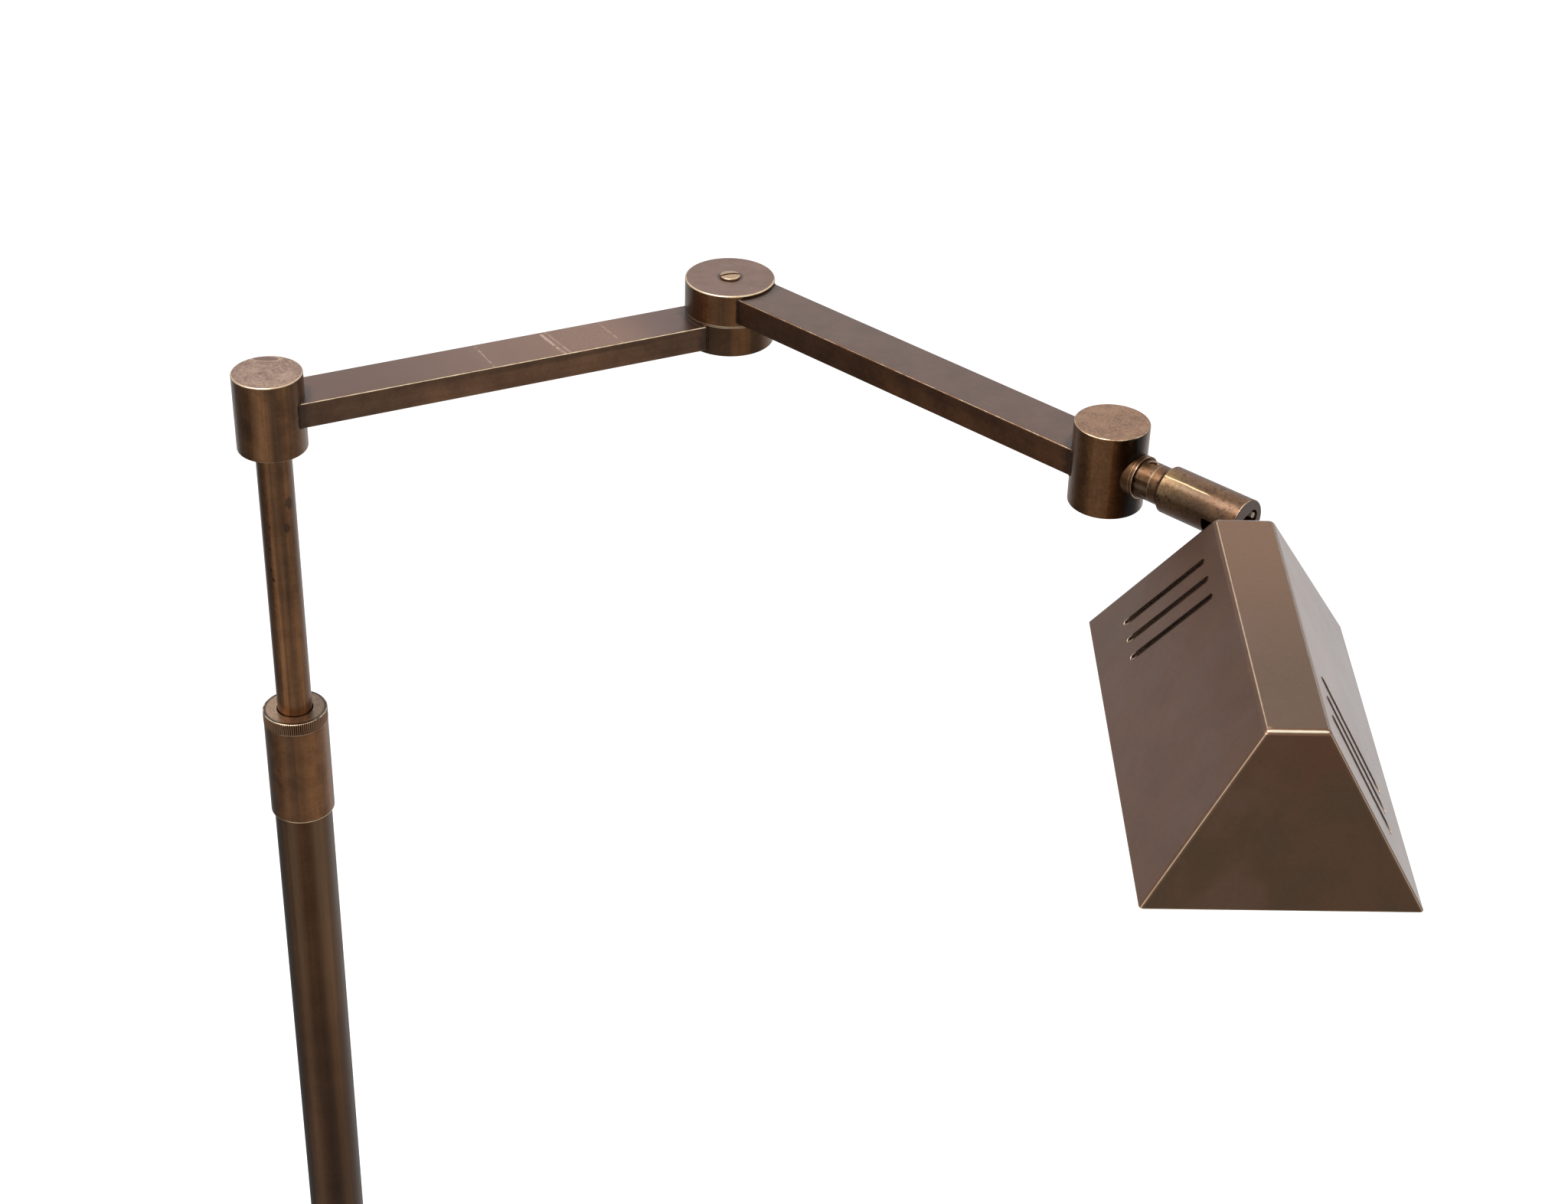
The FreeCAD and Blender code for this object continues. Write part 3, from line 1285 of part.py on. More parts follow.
def make_switch():
    """Push switch: case, bezel, terminal plate, spring and button."""
    under = -s.cover_sheet
    case_bottom = -s.switch_case_depth
    lip_under = s.switch_neck_height - s.switch_lip
    lip_bore = s.button_radius + s.pocket_gap
    case = turned("switch_case", [
        (s.switch_bore, case_bottom), (s.switch_case_radius, case_bottom),
        (s.switch_case_radius, under), (s.switch_neck_radius, under),
        (s.switch_neck_radius, s.switch_neck_height), (lip_bore, s.switch_neck_height),
        (lip_bore, lip_under), (s.switch_bore, lip_under)])
    keep(put(case, SWITCH), "switch_case")
    bore = s.switch_neck_radius + s.running_fit
    bezel = turned("switch_bezel", [
        (bore, 0), (s.switch_case_radius, 0),
        (s.switch_case_radius, s.switch_neck_height - s.bezel_chamfer),
        (s.switch_case_radius - s.bezel_chamfer, s.switch_neck_height),
        (bore, s.switch_neck_height)])
    keep(put(bezel, SWITCH), "switch_bezel")
    plate = rod("switch_terminal_plate", s.switch_case_radius, s.terminal_plate_thickness)
    keep(put(plate, SWITCH, shift(z=case_bottom - s.terminal_plate_thickness)),
         "switch_terminal_plate")
    flange_top = lip_under - s.pocket_gap
    flange_bottom = flange_top - s.button_flange_height
    guide = s.spring_radius - s.spring_wire - s.spring_guide_play
    stem_end = flange_bottom - s.button_stem
    button = turned("switch_button", [
        (0, stem_end), (guide, stem_end), (guide, flange_bottom),
        (s.button_flange, flange_bottom), (s.button_flange, flange_top),
        (s.button_radius, flange_top), (s.button_radius, s.button_height), (0, s.button_height)])
    soften(button, s.button_edge, [(s.button_radius, s.button_height)])
    keep(put(button, SWITCH), "switch_button")
    make_switch_spring(case_bottom, flange_bottom)


def make_switch_spring(bottom, top):
    """Coil spring between the terminal plate and the button's flange."""
    seat = s.spring_wire + s.part_gap
    height = number(top - bottom - 2 * seat)
    radius = number(s.spring_radius)
    pitch = height / number(s.spring_turns)
    path = Part.makeHelix(pitch, height, radius)
    section = Part.Wire(Part.makeCircle(number(s.spring_wire), FreeCAD.Vector(radius, 0, 0),
                                        FreeCAD.Vector(0, radius, pitch / 2 / math.pi)))
    spring = doc.addObject("Part::Feature", "switch_spring")
    spring.Shape = Part.Wire(path.Edges).makePipeShell([section], True, True)
    keep(put(spring, SWITCH, shift(z=bottom + seat)), "switch_spring")


make_switch()


# Check and write

def check_and_write():
    """Stops at a failed object, and otherwise writes each sub-part to its own file."""
    doc.recompute()
    for item in doc.Objects:
        if "Invalid" in item.State or "Error" in item.State:
            raise RuntimeError("%s failed: %s" % (item.Name, item.State))
    for piece in NODES:
        if piece.Shape.isNull() or not piece.Shape.isValid():
            raise RuntimeError("%s has no valid shape" % piece.Label)
    os.makedirs("parts", exist_ok=True)
    for piece in NODES:
        piece.Shape.exportStep("parts/%s.step" % piece.Label)
    print("%d sub-parts written" % len(NODES))


check_and_write()
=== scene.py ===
"""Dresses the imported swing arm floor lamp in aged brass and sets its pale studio."""

import math

import bmesh
import bpy
from mathutils import Matrix, Vector


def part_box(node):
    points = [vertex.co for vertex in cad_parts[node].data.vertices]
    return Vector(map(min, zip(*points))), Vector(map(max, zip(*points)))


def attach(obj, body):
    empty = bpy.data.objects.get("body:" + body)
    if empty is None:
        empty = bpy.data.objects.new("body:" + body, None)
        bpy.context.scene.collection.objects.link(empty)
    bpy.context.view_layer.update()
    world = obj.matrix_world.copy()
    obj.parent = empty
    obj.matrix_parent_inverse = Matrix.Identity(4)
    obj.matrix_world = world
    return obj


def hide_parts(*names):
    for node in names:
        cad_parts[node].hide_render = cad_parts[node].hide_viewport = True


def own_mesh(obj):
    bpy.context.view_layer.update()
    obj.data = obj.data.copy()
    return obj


bl_info = {
    "name": "Swing arm floor lamp",
    "version": (1, 0, 0),
    "blender": (4, 5, 0),
    "location": "View3D > Sidebar > Lamp",
    "description": "Finishes and small pieces of a brass swing arm floor lamp",
    "category": "Object",
}

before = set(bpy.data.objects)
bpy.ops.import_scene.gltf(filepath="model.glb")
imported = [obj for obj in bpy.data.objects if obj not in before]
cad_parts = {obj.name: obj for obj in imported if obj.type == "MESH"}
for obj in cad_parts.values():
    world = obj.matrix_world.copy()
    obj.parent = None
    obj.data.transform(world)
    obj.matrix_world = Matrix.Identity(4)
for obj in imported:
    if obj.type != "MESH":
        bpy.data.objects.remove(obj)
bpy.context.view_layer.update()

PER_METRE = 1000.0
UPRIGHT = Vector((0, 0, 1))

# Shade: the middle of its rim, its own directions, sizes in millimetres and leans of its walls

SHADE_RIM = Vector((405.842, -180.611, 979.658))
SHADE_ALONG = Vector((0.0350, -0.9961, -0.0811)).normalized()
SHADE_ACROSS = Vector((0.9993, 0.0358, -0.0081)).normalized()
SHADE_UP = Vector((0.0109, -0.0807, 0.9967)).normalized()
SHADE_LENGTH = 171.85
SHADE_WIDTH = 104.02
SHADE_HEIGHT = 67.19
SHADE_SIDE_LEAN = 0.607
SHADE_HIP_LEAN = 0.3107

# Arms: radii of the round pieces that they meet, and widths of their flat tubes

HUB_RADIUS = 15.55
KNUCKLE_RADIUS = 20.7
ELBOW_RADIUS = 15.86
LOWER_WIDTH = 24.46
UPPER_WIDTH = 24.52

# Head: radii of the round pieces, and places along their axis, measured from the elbow

RING_RADIUS = 9.2
RING_END = 18.5
STUB_RADIUS = 8.2
SLEEVE_RADIUS = 10.1
SLEEVE_START = 30.3
SLEEVE_END = 69.8

# Camera

CAMERA_PLACE = (0.225495, -1.055368, 1.597527)
CAMERA_PITCH = math.radians(32.295)
CAMERA_ROLL = math.radians(1.654)
CAMERA_LENS = 63.4845

# Colours that several finishes share

SOOT = (0.05, 0.022, 0.010)
FOLD_BRASS = (0.85, 0.66, 0.44)
WHITE = (1, 1, 1, 1)


def corners(node):
    """The lowest and highest corner of a node's box, in millimetres."""
    low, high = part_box(node)
    return low * PER_METRE, high * PER_METRE


def middle(node):
    """The middle of a node's box, in millimetres."""
    low, high = corners(node)
    return (low + high) / 2


def level(direction):
    """The direction laid flat, one long."""
    return Vector((direction.x, direction.y, 0)).normalized()


def sideways(direction):
    """The level direction to the left of another."""
    return Vector((-direction.y, direction.x, 0))


def put(name, data):
    """Links a new object with that mesh, light or camera to the scene."""
    made = bpy.data.objects.new(name, data)
    bpy.context.collection.objects.link(made)
    return made


def arc(first, span, steps):
    """The cosine and the sine of each angle from the first over a span, in degrees."""
    for i in range(steps + 1):
        turn = math.radians(first + span * i / steps)
        yield math.cos(turn), math.sin(turn)


HUB = middle("lower_hub")
KNUCKLE = middle("upper_knuckle")
ELBOW = middle("upper_hub")
LOWER_ALONG = level(KNUCKLE - HUB)
UPPER_ALONG = level(ELBOW - KNUCKLE)
HEAD_AXIS = Vector((ELBOW.x, ELBOW.y, middle("stub_ring").z))


class Wire:
    """A socket of a node tree that can be used in sums."""

    def __init__(self, bench, socket):
        self.bench = bench
        self.socket = socket

    def math(self, operation, *others):
        sockets = dict(enumerate((self, *others)))
        return self.bench.node("ShaderNodeMath", {"operation": operation}, sockets)

    def __add__(self, other):
        return self.math("ADD", other)

    __radd__ = __add__

    def __sub__(self, other):
        return self.math("SUBTRACT", other)

    def __rsub__(self, other):
        return (self * -1.0) + other

    def __mul__(self, other):
        return self.math("MULTIPLY", other)

    __rmul__ = __mul__

    def __truediv__(self, other):
        return self.math("DIVIDE", other)

    def __rtruediv__(self, other):
        return self.math("POWER", -1.0) * other

    def __abs__(self):
        return self.math("ABSOLUTE")

    def __pow__(self, other):
        return self.math("POWER", other)

    def least(self, other):
        return self.math("MINIMUM", other)

    def most(self, other):
        return self.math("MAXIMUM", other)


class Bench:
    """A node tree and the one way in which nodes are put into it."""

    def __init__(self, tree):
        self.tree = tree
        tree.nodes.clear()

    def node(self, kind, settings=None, sockets=None, out=0):
        made = self.tree.nodes.new(kind)
        for name, value in (settings or {}).items():
            if name == "stops":
                self.set_stops(made.color_ramp, value)
            else:
                setattr(made, name, value)
        for name, value in (sockets or {}).items():
            if isinstance(value, Wire):
                self.tree.links.new(value.socket, made.inputs[name])
            else:
                made.inputs[name].default_value = value
        return Wire(self, made.outputs[out]) if made.outputs else None

    def set_stops(self, ramp, stops):
        """Sets a ramp to greys, given as pairs of a place and a brightness."""
        while len(ramp.elements) > 2:
            ramp.elements.remove(ramp.elements[-1])
        while len(ramp.elements) < len(stops):
            ramp.elements.new(0.5)
        for element, (place, grey) in zip(ramp.elements, stops):
            element.position = place
            element.color = (grey, grey, grey, 1.0)

    def vector(self, operation, first, second, out=0):
        """Vector maths with a second vector, or with a number where the first is scaled."""
        other = "Scale" if operation == "SCALE" else 1
        sockets = {0: first, other: second}
        return self.node("ShaderNodeVectorMath", {"operation": operation}, sockets, out)

    def clouds(self, where, seed, scale=1.0, detail=3.0, rough=0.5, out=0):
        """Noise that reads its seed as a fourth place."""
        sockets = {"Vector": where, "W": seed, "Scale": scale, "Detail": detail}
        sockets["Roughness"] = rough
        return self.node("ShaderNodeTexNoise", {"noise_dimensions": "4D"}, sockets, out)

    def mix(self, factor, first, second):
        first, second = (c if isinstance(c, Wire) else (*c[:3], 1.0) for c in (first, second))
        sockets = {0: factor, 6: first, 7: second}
        return self.node("ShaderNodeMix", {"data_type": "RGBA"}, sockets, 2)


class Finish(Bench):
    """A procedural material. Its lengths are millimetres in the lamp's own frame."""

    def __init__(self, name, *nodes):
        self.material = bpy.data.materials.new(name)
        self.material.use_nodes = True
        self.nodes = nodes
        super().__init__(self.material.node_tree)
        metres = self.node("ShaderNodeTexCoord", out="Object")
        self.place = self.vector("SCALE", metres, PER_METRE)
        self.x, self.y, self.z = (
            self.node("ShaderNodeSeparateXYZ", None, {0: self.place}, axis) for axis in "XYZ"
        )

    def along(self, origin, direction):
        """How far a point is from the origin in that direction."""
        moved = self.vector("SUBTRACT", self.place, tuple(origin))
        return self.vector("DOT_PRODUCT", moved, tuple(direction), "Value")

    def away(self, centre):
        """How far a point is from an upright axis."""
        return ((self.x - centre.x) ** 2.0 + (self.y - centre.y) ** 2.0) ** 0.5

    def shrunk(self, *sizes):
        """The place in steps of a size for each direction."""
        return self.vector("MULTIPLY", self.place, tuple(1 / size for size in sizes))

    def noise(self, size, detail=3.0, rough=0.55, stretch=(1, 1, 1), seed=0.0, where=None):
        """Clouds of about that size, from 0 to 1 and mostly near a half."""
        where = where or self.shrunk(*(size * s for s in stretch))
        return self.clouds(where, seed, detail=detail, rough=rough)

    def step(self, value, low, high, start=0.0, end=1.0):
        """Goes smoothly from start to end while the value goes from low to high."""
        sockets = {"Value": value, 1: low, 2: high, 3: start, 4: end}
        return self.node("ShaderNodeMapRange", {"interpolation_type": "SMOOTHSTEP"}, sockets)

    def fan(self, clouds, start=0.0, end=1.0):
        """Clouds drawn out until they reach from start to end."""
        return self.step(clouds, 0.3, 0.7, start, end)

    def skin(self, distance, depth=0.30):
        """A mask for the outermost skin of a face."""
        return self.step(distance, depth, 0.05)

    def bump(self, height, depth):
        sockets = {"Strength": 1.0, "Distance": depth / PER_METRE, "Height": height}
        return self.node("ShaderNodeBump", None, sockets)

    def close(self, colour, roughness, bump=None, **sockets):
        """Ends the material in one principled shader and gives it to its CAD nodes."""
        values = {"Base Color": colour, "Roughness": roughness}
        if bump:
            values["Normal"] = bump
        for name, value in sockets.items():
            values[name.replace("_", " ")] = value
        shader = self.node("ShaderNodeBsdfPrincipled", None, values)
        self.node("ShaderNodeOutputMaterial", None, {"Surface": shader})
        for name in self.nodes:
            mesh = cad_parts[name].data
            mesh.materials.clear()
            mesh.materials.append(self.material)
        return self.material

    def plain(self, share, dark, pale, rough, grain, depth, **sockets):
        """Ends a finish of two colours whose grain stands up and changes the gloss."""
        if isinstance(rough, tuple):
            rough = self.fan(grain, *rough)
        return self.close(self.mix(share, dark, pale), rough, self.bump(grain, depth), **sockets)


class Patina(Finish):
    """Aged brass: brown patina under thin wax, rubbed to bright metal at its edges."""

    def __init__(self, *nodes, name=None, tone=1.0, cloud=16.0, seed=0.0, wax=1.0,
                 tint=(1, 1, 1), spread=1.0):
        super().__init__((name or nodes[0]) + "_patina", *nodes)
        self.look = bpy.context.scene.lamp_finish
        self.seed = seed
        self.wax = wax
        clouds = self.noise(cloud, detail=5.0, rough=0.6, seed=seed)
        grain = self.noise(1.6, detail=2.0, seed=seed + 3)
        mottle = self.step(
            clouds * 0.75 + grain * 0.25, 0.34, 0.66, 0.5 - spread / 2, 0.5 + spread / 2
        )
        dark, pale = (
            tuple(c * tone * t for c, t in zip(colour, tint))
            for colour in (self.look.patina_dark, self.look.patina_pale)
        )
        self.colour = self.mix(mottle, dark, pale)
        self.rough = mottle * 0.10 + self.look.patina_roughness

    def stain(self, mask, colour):
        self.colour = self.mix(mask, self.colour, colour)

    def shade_by(self, factor):
        self.colour = self.vector("SCALE", self.colour, factor)

    def rub(self, edge, width, strength=1.0, ragged=1.0, colour=None):
        """Worn metal where the distance from an edge is under a width that comes and goes."""
        lumps = self.noise(5.0, detail=4.0, rough=0.65, seed=self.seed + 7)
        reach = (lumps - 0.5) * (2.6 * width * ragged) + width * (1.0 - 0.53 * ragged)
        mask = self.step(edge - reach, -0.25 * width, 0.25 * width, strength, 0.0)
        self.stain(mask, colour or self.look.worn_brass)
        self.rough = self.rough * (mask * -0.35 + 1.0)

    def rub_rims(self, top=(), bottom=()):
        """Rubs the edges where the side of a measured piece meets its top and its bottom."""
        for face, wear in ((self.top, top), (self.bottom, bottom)):
            if wear:
                self.rub(self.side.most(face), *wear)

    def bands(self, *stops):
        """Painted reflection: bands round the piece, as pairs of degrees and a factor up to 2."""
        ramp = [(0.5 + turn / 360, factor / 2) for turn, factor in stops]
        share = self.node("ShaderNodeValToRGB", {"stops": ramp}, {0: self.angle / 360 + 0.5})
        self.shade_by(self.node("ShaderNodeSeparateColor", None, {0: share}) * 2.0)

    def streak(self, amount, size=1.5, stretch=(1, 1, 60)):
        """Long streaks down the piece, lighter and darker."""
        lines = self.noise(size, stretch=stretch, seed=self.seed + 11)
        self.shade_by(self.step(lines, 0.25, 0.75, 1.0 - amount, 1.0 + amount))

    def specks(self, size, share, colour=SOOT, strength=0.6, reach=0.18):
        """Small scattered spots."""
        sockets = {"Vector": self.shrunk(size, size, size), "Scale": 1.0, "Randomness": 1.0}
        cells = self.node("ShaderNodeTexVoronoi", {"feature": "F1"}, sockets, "Distance")
        patches = self.noise(size * 6, detail=2.0, seed=self.seed + 17)
        mask = self.step(cells, reach - 0.06, reach + 0.06, strength, 0.0)
        self.stain(mask * self.step(patches, 1 - share - 0.05, 1 - share + 0.05), colour)

    def end(self, depth=0.05, pitch=0.7):
        pits = self.noise(pitch, seed=self.seed + 23)
        waves = self.noise(9.0, detail=2.0, seed=self.seed + 29)
        relief = self.bump(pits * 0.2 + waves * 1.5, depth)
        wax = self.look.wax * self.wax
        return self.close(
            self.colour, self.rough, relief, Metallic=1.0, Coat_Weight=wax, Coat_Roughness=0.22
        )

    def measure(self, side):
        """Keeps the distances from the side, the top and the bottom of the first node."""
        low, high = corners(self.nodes[0])
        self.side, self.top, self.bottom = side, high.z - self.z, self.z - low.z

    def upright(self):
        """Measures a round upright piece, with the angle round it, 0 in front."""
        low, high = corners(self.nodes[0])
        centre = (low + high) / 2
        self.measure((high.x - low.x) / 2 - self.away(centre))
        angle = (self.x - centre.x).math("ARCTAN2", (self.y - centre.y) * -1.0)
        self.angle = angle * math.degrees(1.0)

    def bar(self, origin, direction, width):
        """Measures a flat level tube, with the place along it and across it."""
        self.run = self.along(origin, direction)
        self.across = self.along(origin, sideways(direction))
        self.measure(width / 2 - abs(self.across))

    def lying(self, radius):
        """Measures a round level piece of the head, with the place along it and the angle."""
        self.run = self.along(HEAD_AXIS, UPPER_ALONG)
        left = self.along(HEAD_AXIS, sideways(UPPER_ALONG))
        up = self.along(HEAD_AXIS, UPRIGHT)
        self.side = radius - (left * left + up * up) ** 0.5
        self.angle = (left * -1.0).math("ARCTAN2", up) * math.degrees(1.0)


# Settings


class LampFinish(bpy.types.PropertyGroup):
    patina_dark: bpy.props.FloatVectorProperty(
        name="Dark patina", description="Colour of the brass where the patina is thick",
        subtype="COLOR", default=(0.098, 0.044, 0.019))
    patina_pale: bpy.props.FloatVectorProperty(
        name="Pale patina", description="Colour of the brass where the patina is thin",
        subtype="COLOR", default=(0.150, 0.072, 0.034))
    worn_brass: bpy.props.FloatVectorProperty(
        name="Worn brass", description="Colour of the brass on rubbed edges",
        subtype="COLOR", default=(0.80, 0.60, 0.40))
    patina_roughness: bpy.props.FloatProperty(
        name="Patina roughness", description="Roughness of the patina",
        subtype="FACTOR", min=0.0, max=1.0, default=0.30)
    wax: bpy.props.FloatProperty(
        name="Wax", description="Strength of the wax over the patina",
        subtype="FACTOR", min=0.0, max=1.0, default=0.8)


class LampDetails(bpy.types.PropertyGroup):
    braze_bead: bpy.props.FloatProperty(
        name="Braze bead", description="Radius of the bead where an arm meets a hub",
        subtype="DISTANCE", unit="LENGTH", min=0.0, default=0.0006)
    vent_burr: bpy.props.FloatProperty(
        name="Vent burr", description="Radius of the burr round each vent",
        subtype="DISTANCE", unit="LENGTH", min=0.0, default=0.00022)
    filament_turns: bpy.props.IntProperty(
        name="Filament turns", description="Turns of the coil in the bulb", min=4, default=44)


class LampStage(bpy.types.PropertyGroup):
    floor_colour: bpy.props.FloatProperty(
        name="Floor", description="Share of the light that the floor gives back",
        min=0.0, max=1.0, default=0.50)
    floor_size: bpy.props.FloatProperty(
        name="Floor size", description="Side of the square floor",
        subtype="DISTANCE", unit="LENGTH", default=14.0)
    left_side: bpy.props.FloatProperty(
        name="Left side",
        description="How bright the floor is on the lamp's left, as a share of the rest",
        subtype="FACTOR", min=0.0, max=1.0, default=0.30)
    horizon: bpy.props.FloatProperty(
        name="Horizon", description="Brightness of the studio near the horizon",
        min=0.0, default=0.55)
    key_power: bpy.props.FloatProperty(
        name="Key light", description="Power of the soft light above the lamp",
        subtype="POWER", unit="POWER", default=30.0)


# Stage


class LAMP_OT_stage(bpy.types.Operator):
    """Makes the floor, the studio light and the camera"""

    bl_idname = "lamp.stage"
    bl_label = "Stage"

    KEY_PLACE = Vector((-0.5, -0.4, 2.9))
    KEY_AIM = Vector((0.2, 0.0, 0.9))
    KEY_SIZE = (1.6, 1.2)
    FLOOR_DROP = 0.0003
    FLOOR_GLOW = 0.68

    def execute(self, context):
        settings = context.scene.lamp_stage
        self.light_studio(context.scene, settings.horizon)
        self.lay_floor(settings)
        self.hang_key(settings.key_power)
        context.scene.camera = self.place_camera()
        context.scene.view_settings.view_transform = "Standard"
        return {"FINISHED"}

    def light_studio(self, scene, low):
        scene.world = bpy.data.worlds.new("studio")
        scene.world.use_nodes = True
        bench = Bench(scene.world.node_tree)
        direction = bench.node("ShaderNodeTexCoord", out="Generated")
        height = bench.node("ShaderNodeSeparateXYZ", None, {0: direction}, "Z")
        stops = ((0.0, low), (0.12, low), (0.46, 1.0), (1.0, 1.0))
        glow = bench.node("ShaderNodeValToRGB", {"stops": stops}, {0: height})
        seen = bench.mix(bench.node("ShaderNodeLightPath", out="Is Camera Ray"), glow, WHITE)
        sky = bench.node("ShaderNodeBackground", None, {"Color": seen, "Strength": 1.0})
        bench.node("ShaderNodeOutputWorld", None, {"Surface": sky})

    def lay_floor(self, settings):
        half = settings.floor_size / 2
        mesh = bpy.data.meshes.new("floor")
        square = ((-half, -half), (half, -half), (half, half), (-half, half))
        mesh.from_pydata([(x, y, -self.FLOOR_DROP) for x, y in square], [], [(0, 1, 2, 3)])
        mesh.materials.append(self.paper(settings))
        put("floor", mesh)

    def paper(self, settings):
        """White to the camera. For the lamp it is grey, and darker on the lamp's left as painted
        shade.
        """
        p = Finish("studio_floor")
        shaded = p.step(p.y * 0.9 - p.x, 50, 650) * p.step(p.y, 600, 1400, 1.0, 0.0)
        level = 1 - shaded * (1 - settings.left_side)
        # Painted shade to the front right, and painted light behind.
        level = level - p.step(p.x, 600, 1500) * p.step(p.y, 500, 100) * 0.22
        behind = p.step(p.y, 300, 1200) * p.step(p.x, 300, 900)
        level = level * (1 + behind * 0.55) * settings.floor_colour
        tone = p.node("ShaderNodeCombineColor", None, {0: level, 1: level, 2: level})
        matt = p.node("ShaderNodeBsdfDiffuse", None, {"Color": tone})
        grey = p.node("ShaderNodeBsdfDiffuse", None, {"Color": (0.5, 0.5, 0.5, 1)})
        shine = {"Color": WHITE, "Strength": self.FLOOR_GLOW}
        shine = p.node("ShaderNodeEmission", None, shine)
        white = p.node("ShaderNodeAddShader", None, {0: grey, 1: shine})
        camera_ray = p.node("ShaderNodeLightPath", out="Is Camera Ray")
        both = p.node("ShaderNodeMixShader", None, {0: camera_ray, 1: matt, 2: white})
        p.node("ShaderNodeOutputMaterial", None, {"Surface": both})
        return p.material

    def hang_key(self, power):
        light = bpy.data.lights.new("key", "AREA")
        light.shape = "RECTANGLE"
        light.size, light.size_y = self.KEY_SIZE
        light.energy = power
        key = put("key", light)
        key.location = self.KEY_PLACE
        key.rotation_euler = (self.KEY_AIM - self.KEY_PLACE).to_track_quat("-Z", "Y").to_euler()

    def place_camera(self):
        lens = bpy.data.cameras.new("camera")
        lens.sensor_fit = "HORIZONTAL"
        lens.sensor_width = 36.0
        lens.lens = CAMERA_LENS
        lens.clip_start = 0.01
        camera = put("camera", lens)
        pitched = Matrix.Rotation(math.radians(90) - CAMERA_PITCH, 4, "X")
        rolled = pitched @ Matrix.Rotation(CAMERA_ROLL, 4, "Z")
        camera.matrix_world = Matrix.Translation(CAMERA_PLACE) @ rolled
        return camera


# Mast

ROD_SPOT = (0.035, 0.016, 0.007)
# Of each spot: height, angle, half its height, and half its width in degrees
ROD_SPOTS = (
    (978.0, 50.0, 2.4, 13.0), (966.0, 36.0, 2.0, 10.0), (966.0, -22.0, 0.8, 4.0),
    (955.0, -29.0, 0.7, 4.0), (944.0, -30.0, 0.8, 4.0), (939.0, -24.0, 0.8, 5.0),
)


def pole():
    p = Patina("pole_tube", name="pole", tone=0.86, cloud=24, seed=1, wax=0.32,
               tint=(1, 0.86, 0.60))
    p.upright()
    p.shade_by(p.step(p.z, 620, 800, 0.72, 1.0))
    # Painted reflection: a warmer brown on the flanks either side of the front.
    flanks = p.step(abs(p.angle - 7), 9, 22) * p.step(p.z, 640, 780, 0.2, 0.75)
    p.stain(flanks, (0.106, 0.061, 0.031))
    # Painted shade on the right side, low down.
    right = p.step(p.angle, -10, 20)
    p.shade_by(1 - right * p.step(p.z, 700, 600, 0.0, 0.34))
    # Painted reflection bands round the pole.
    p.bands(
        (-90, 0.6), (-56, 0.5), (-44, 1.2), (-35, 1.9), (-24, 1.6), (-15, 1.15), (0, 0.75),
        (15, 0.65), (25, 0.9), (35, 1.6), (45, 1.7), (55, 1.25), (75, 0.85), (100, 1.0))
    p.streak(0.12, 1.4)
    p.rub_rims((0.3,))
    p.end()


def collar():
    p = Patina("collar_sleeve", name="collar", tone=1.12, cloud=9, seed=2, wax=0.5,
               tint=(1, 0.92, 0.7))
    p.upright()
    # Painted reflection bands round the collar.
    p.bands(
        (-90, 0.5), (-55, 0.85), (-44, 1.3), (-35, 1.8), (-25, 1.6), (-15, 1.2), (-4, 0.85),
        (2, 0.7), (7, 0.95), (15, 1.1), (24, 1.5), (35, 2.0), (45, 1.75), (55, 1.4),
        (75, 1.6), (100, 1.0))
    p.streak(0.10, 1.0)
    p.specks(1.3, 0.30)
    p.rub_rims((0.35, 0.6), (0.5, 0.8, 0.4))
    p.end()


def ring():
    p = Patina("lock_ring", tone=1.25, cloud=7, seed=3, wax=0.7, tint=(1, 0.9, 0.75))
    p.upright()
    brushed = p.noise(0.8, detail=4.0, seed=3.5)
    pale = p.mix(p.fan(brushed), (0.27, 0.165, 0.095), (0.42, 0.28, 0.18))
    # Painted shade: the top face is darker towards the right.
    right = p.step(p.angle, 20, 60, 1.0, 0.55)
    p.stain(p.skin(p.top, 0.25), p.vector("SCALE", pale, right))
    p.stain(p.step(p.side, 0.16, 0.02, 0.0, 0.45), (0.34, 0.21, 0.11))
    p.stain(p.step(p.side, 0.18, 0.40) * p.step(p.side, 2.0, 1.0), (0.040, 0.020, 0.010))
    p.rub_rims((0.85, 0.9))
    p.end()


def rod():
    p = Patina("mast_rod", name="rod", tone=1.15, cloud=12, seed=4, wax=0.55, tint=(1, 0.94, 0.74))
    p.upright()
    p.shade_by(p.step(p.z, 880, 960, 1.22, 0.95))
    # Painted reflection bands round the rod.
    p.bands(
        (-90, 0.6), (-70, 0.75), (-45, 0.95), (-33, 1.3), (-20, 1.9), (-11, 1.6), (-4, 0.8),
        (0, 1.05), (8, 1.15), (20, 0.7), (30, 1.1), (45, 1.7), (57, 1.2), (70, 0.75),
        (110, 0.9))
    p.streak(0.24, 0.7)
    ragged = p.noise(2.0, detail=4.0, seed=5)
    for height, turn, tall, wide in ROD_SPOTS:
        away = ((p.z - height) / tall) ** 2.0 + ((p.angle - turn) / wide) ** 2.0
        p.stain(p.step(away + (ragged - 0.5) * 4.0, 0.6, 2.0, 0.7, 0.0), ROD_SPOT)
    p.specks(1.0, 0.14)
    p.end()


class LAMP_OT_mast(bpy.types.Operator):
    """Finishes the pole, its collar, the lock ring and the sliding rod"""

    bl_idname = "lamp.mast"
    bl_label = "Mast"

    def execute(self, context):
        for finish in (pole, collar, ring, rod):
            finish()
        return {"FINISHED"}


# Arms

SCRATCH = (0.60, 0.42, 0.30)
# Of each scratch: place along the arm, slant, half its width, strength and raggedness
SCRATCHES = (
    (98.8, -0.07, 0.12, 0.55, 2.0), (131.2, -0.15, 0.5, 0.85, 1.3),
    (134.0, -0.15, 0.25, 0.45, 2.2), (159.4, -0.12, 0.15, 0.45, 2.2),
)
SCREW_HEAD = 4.3


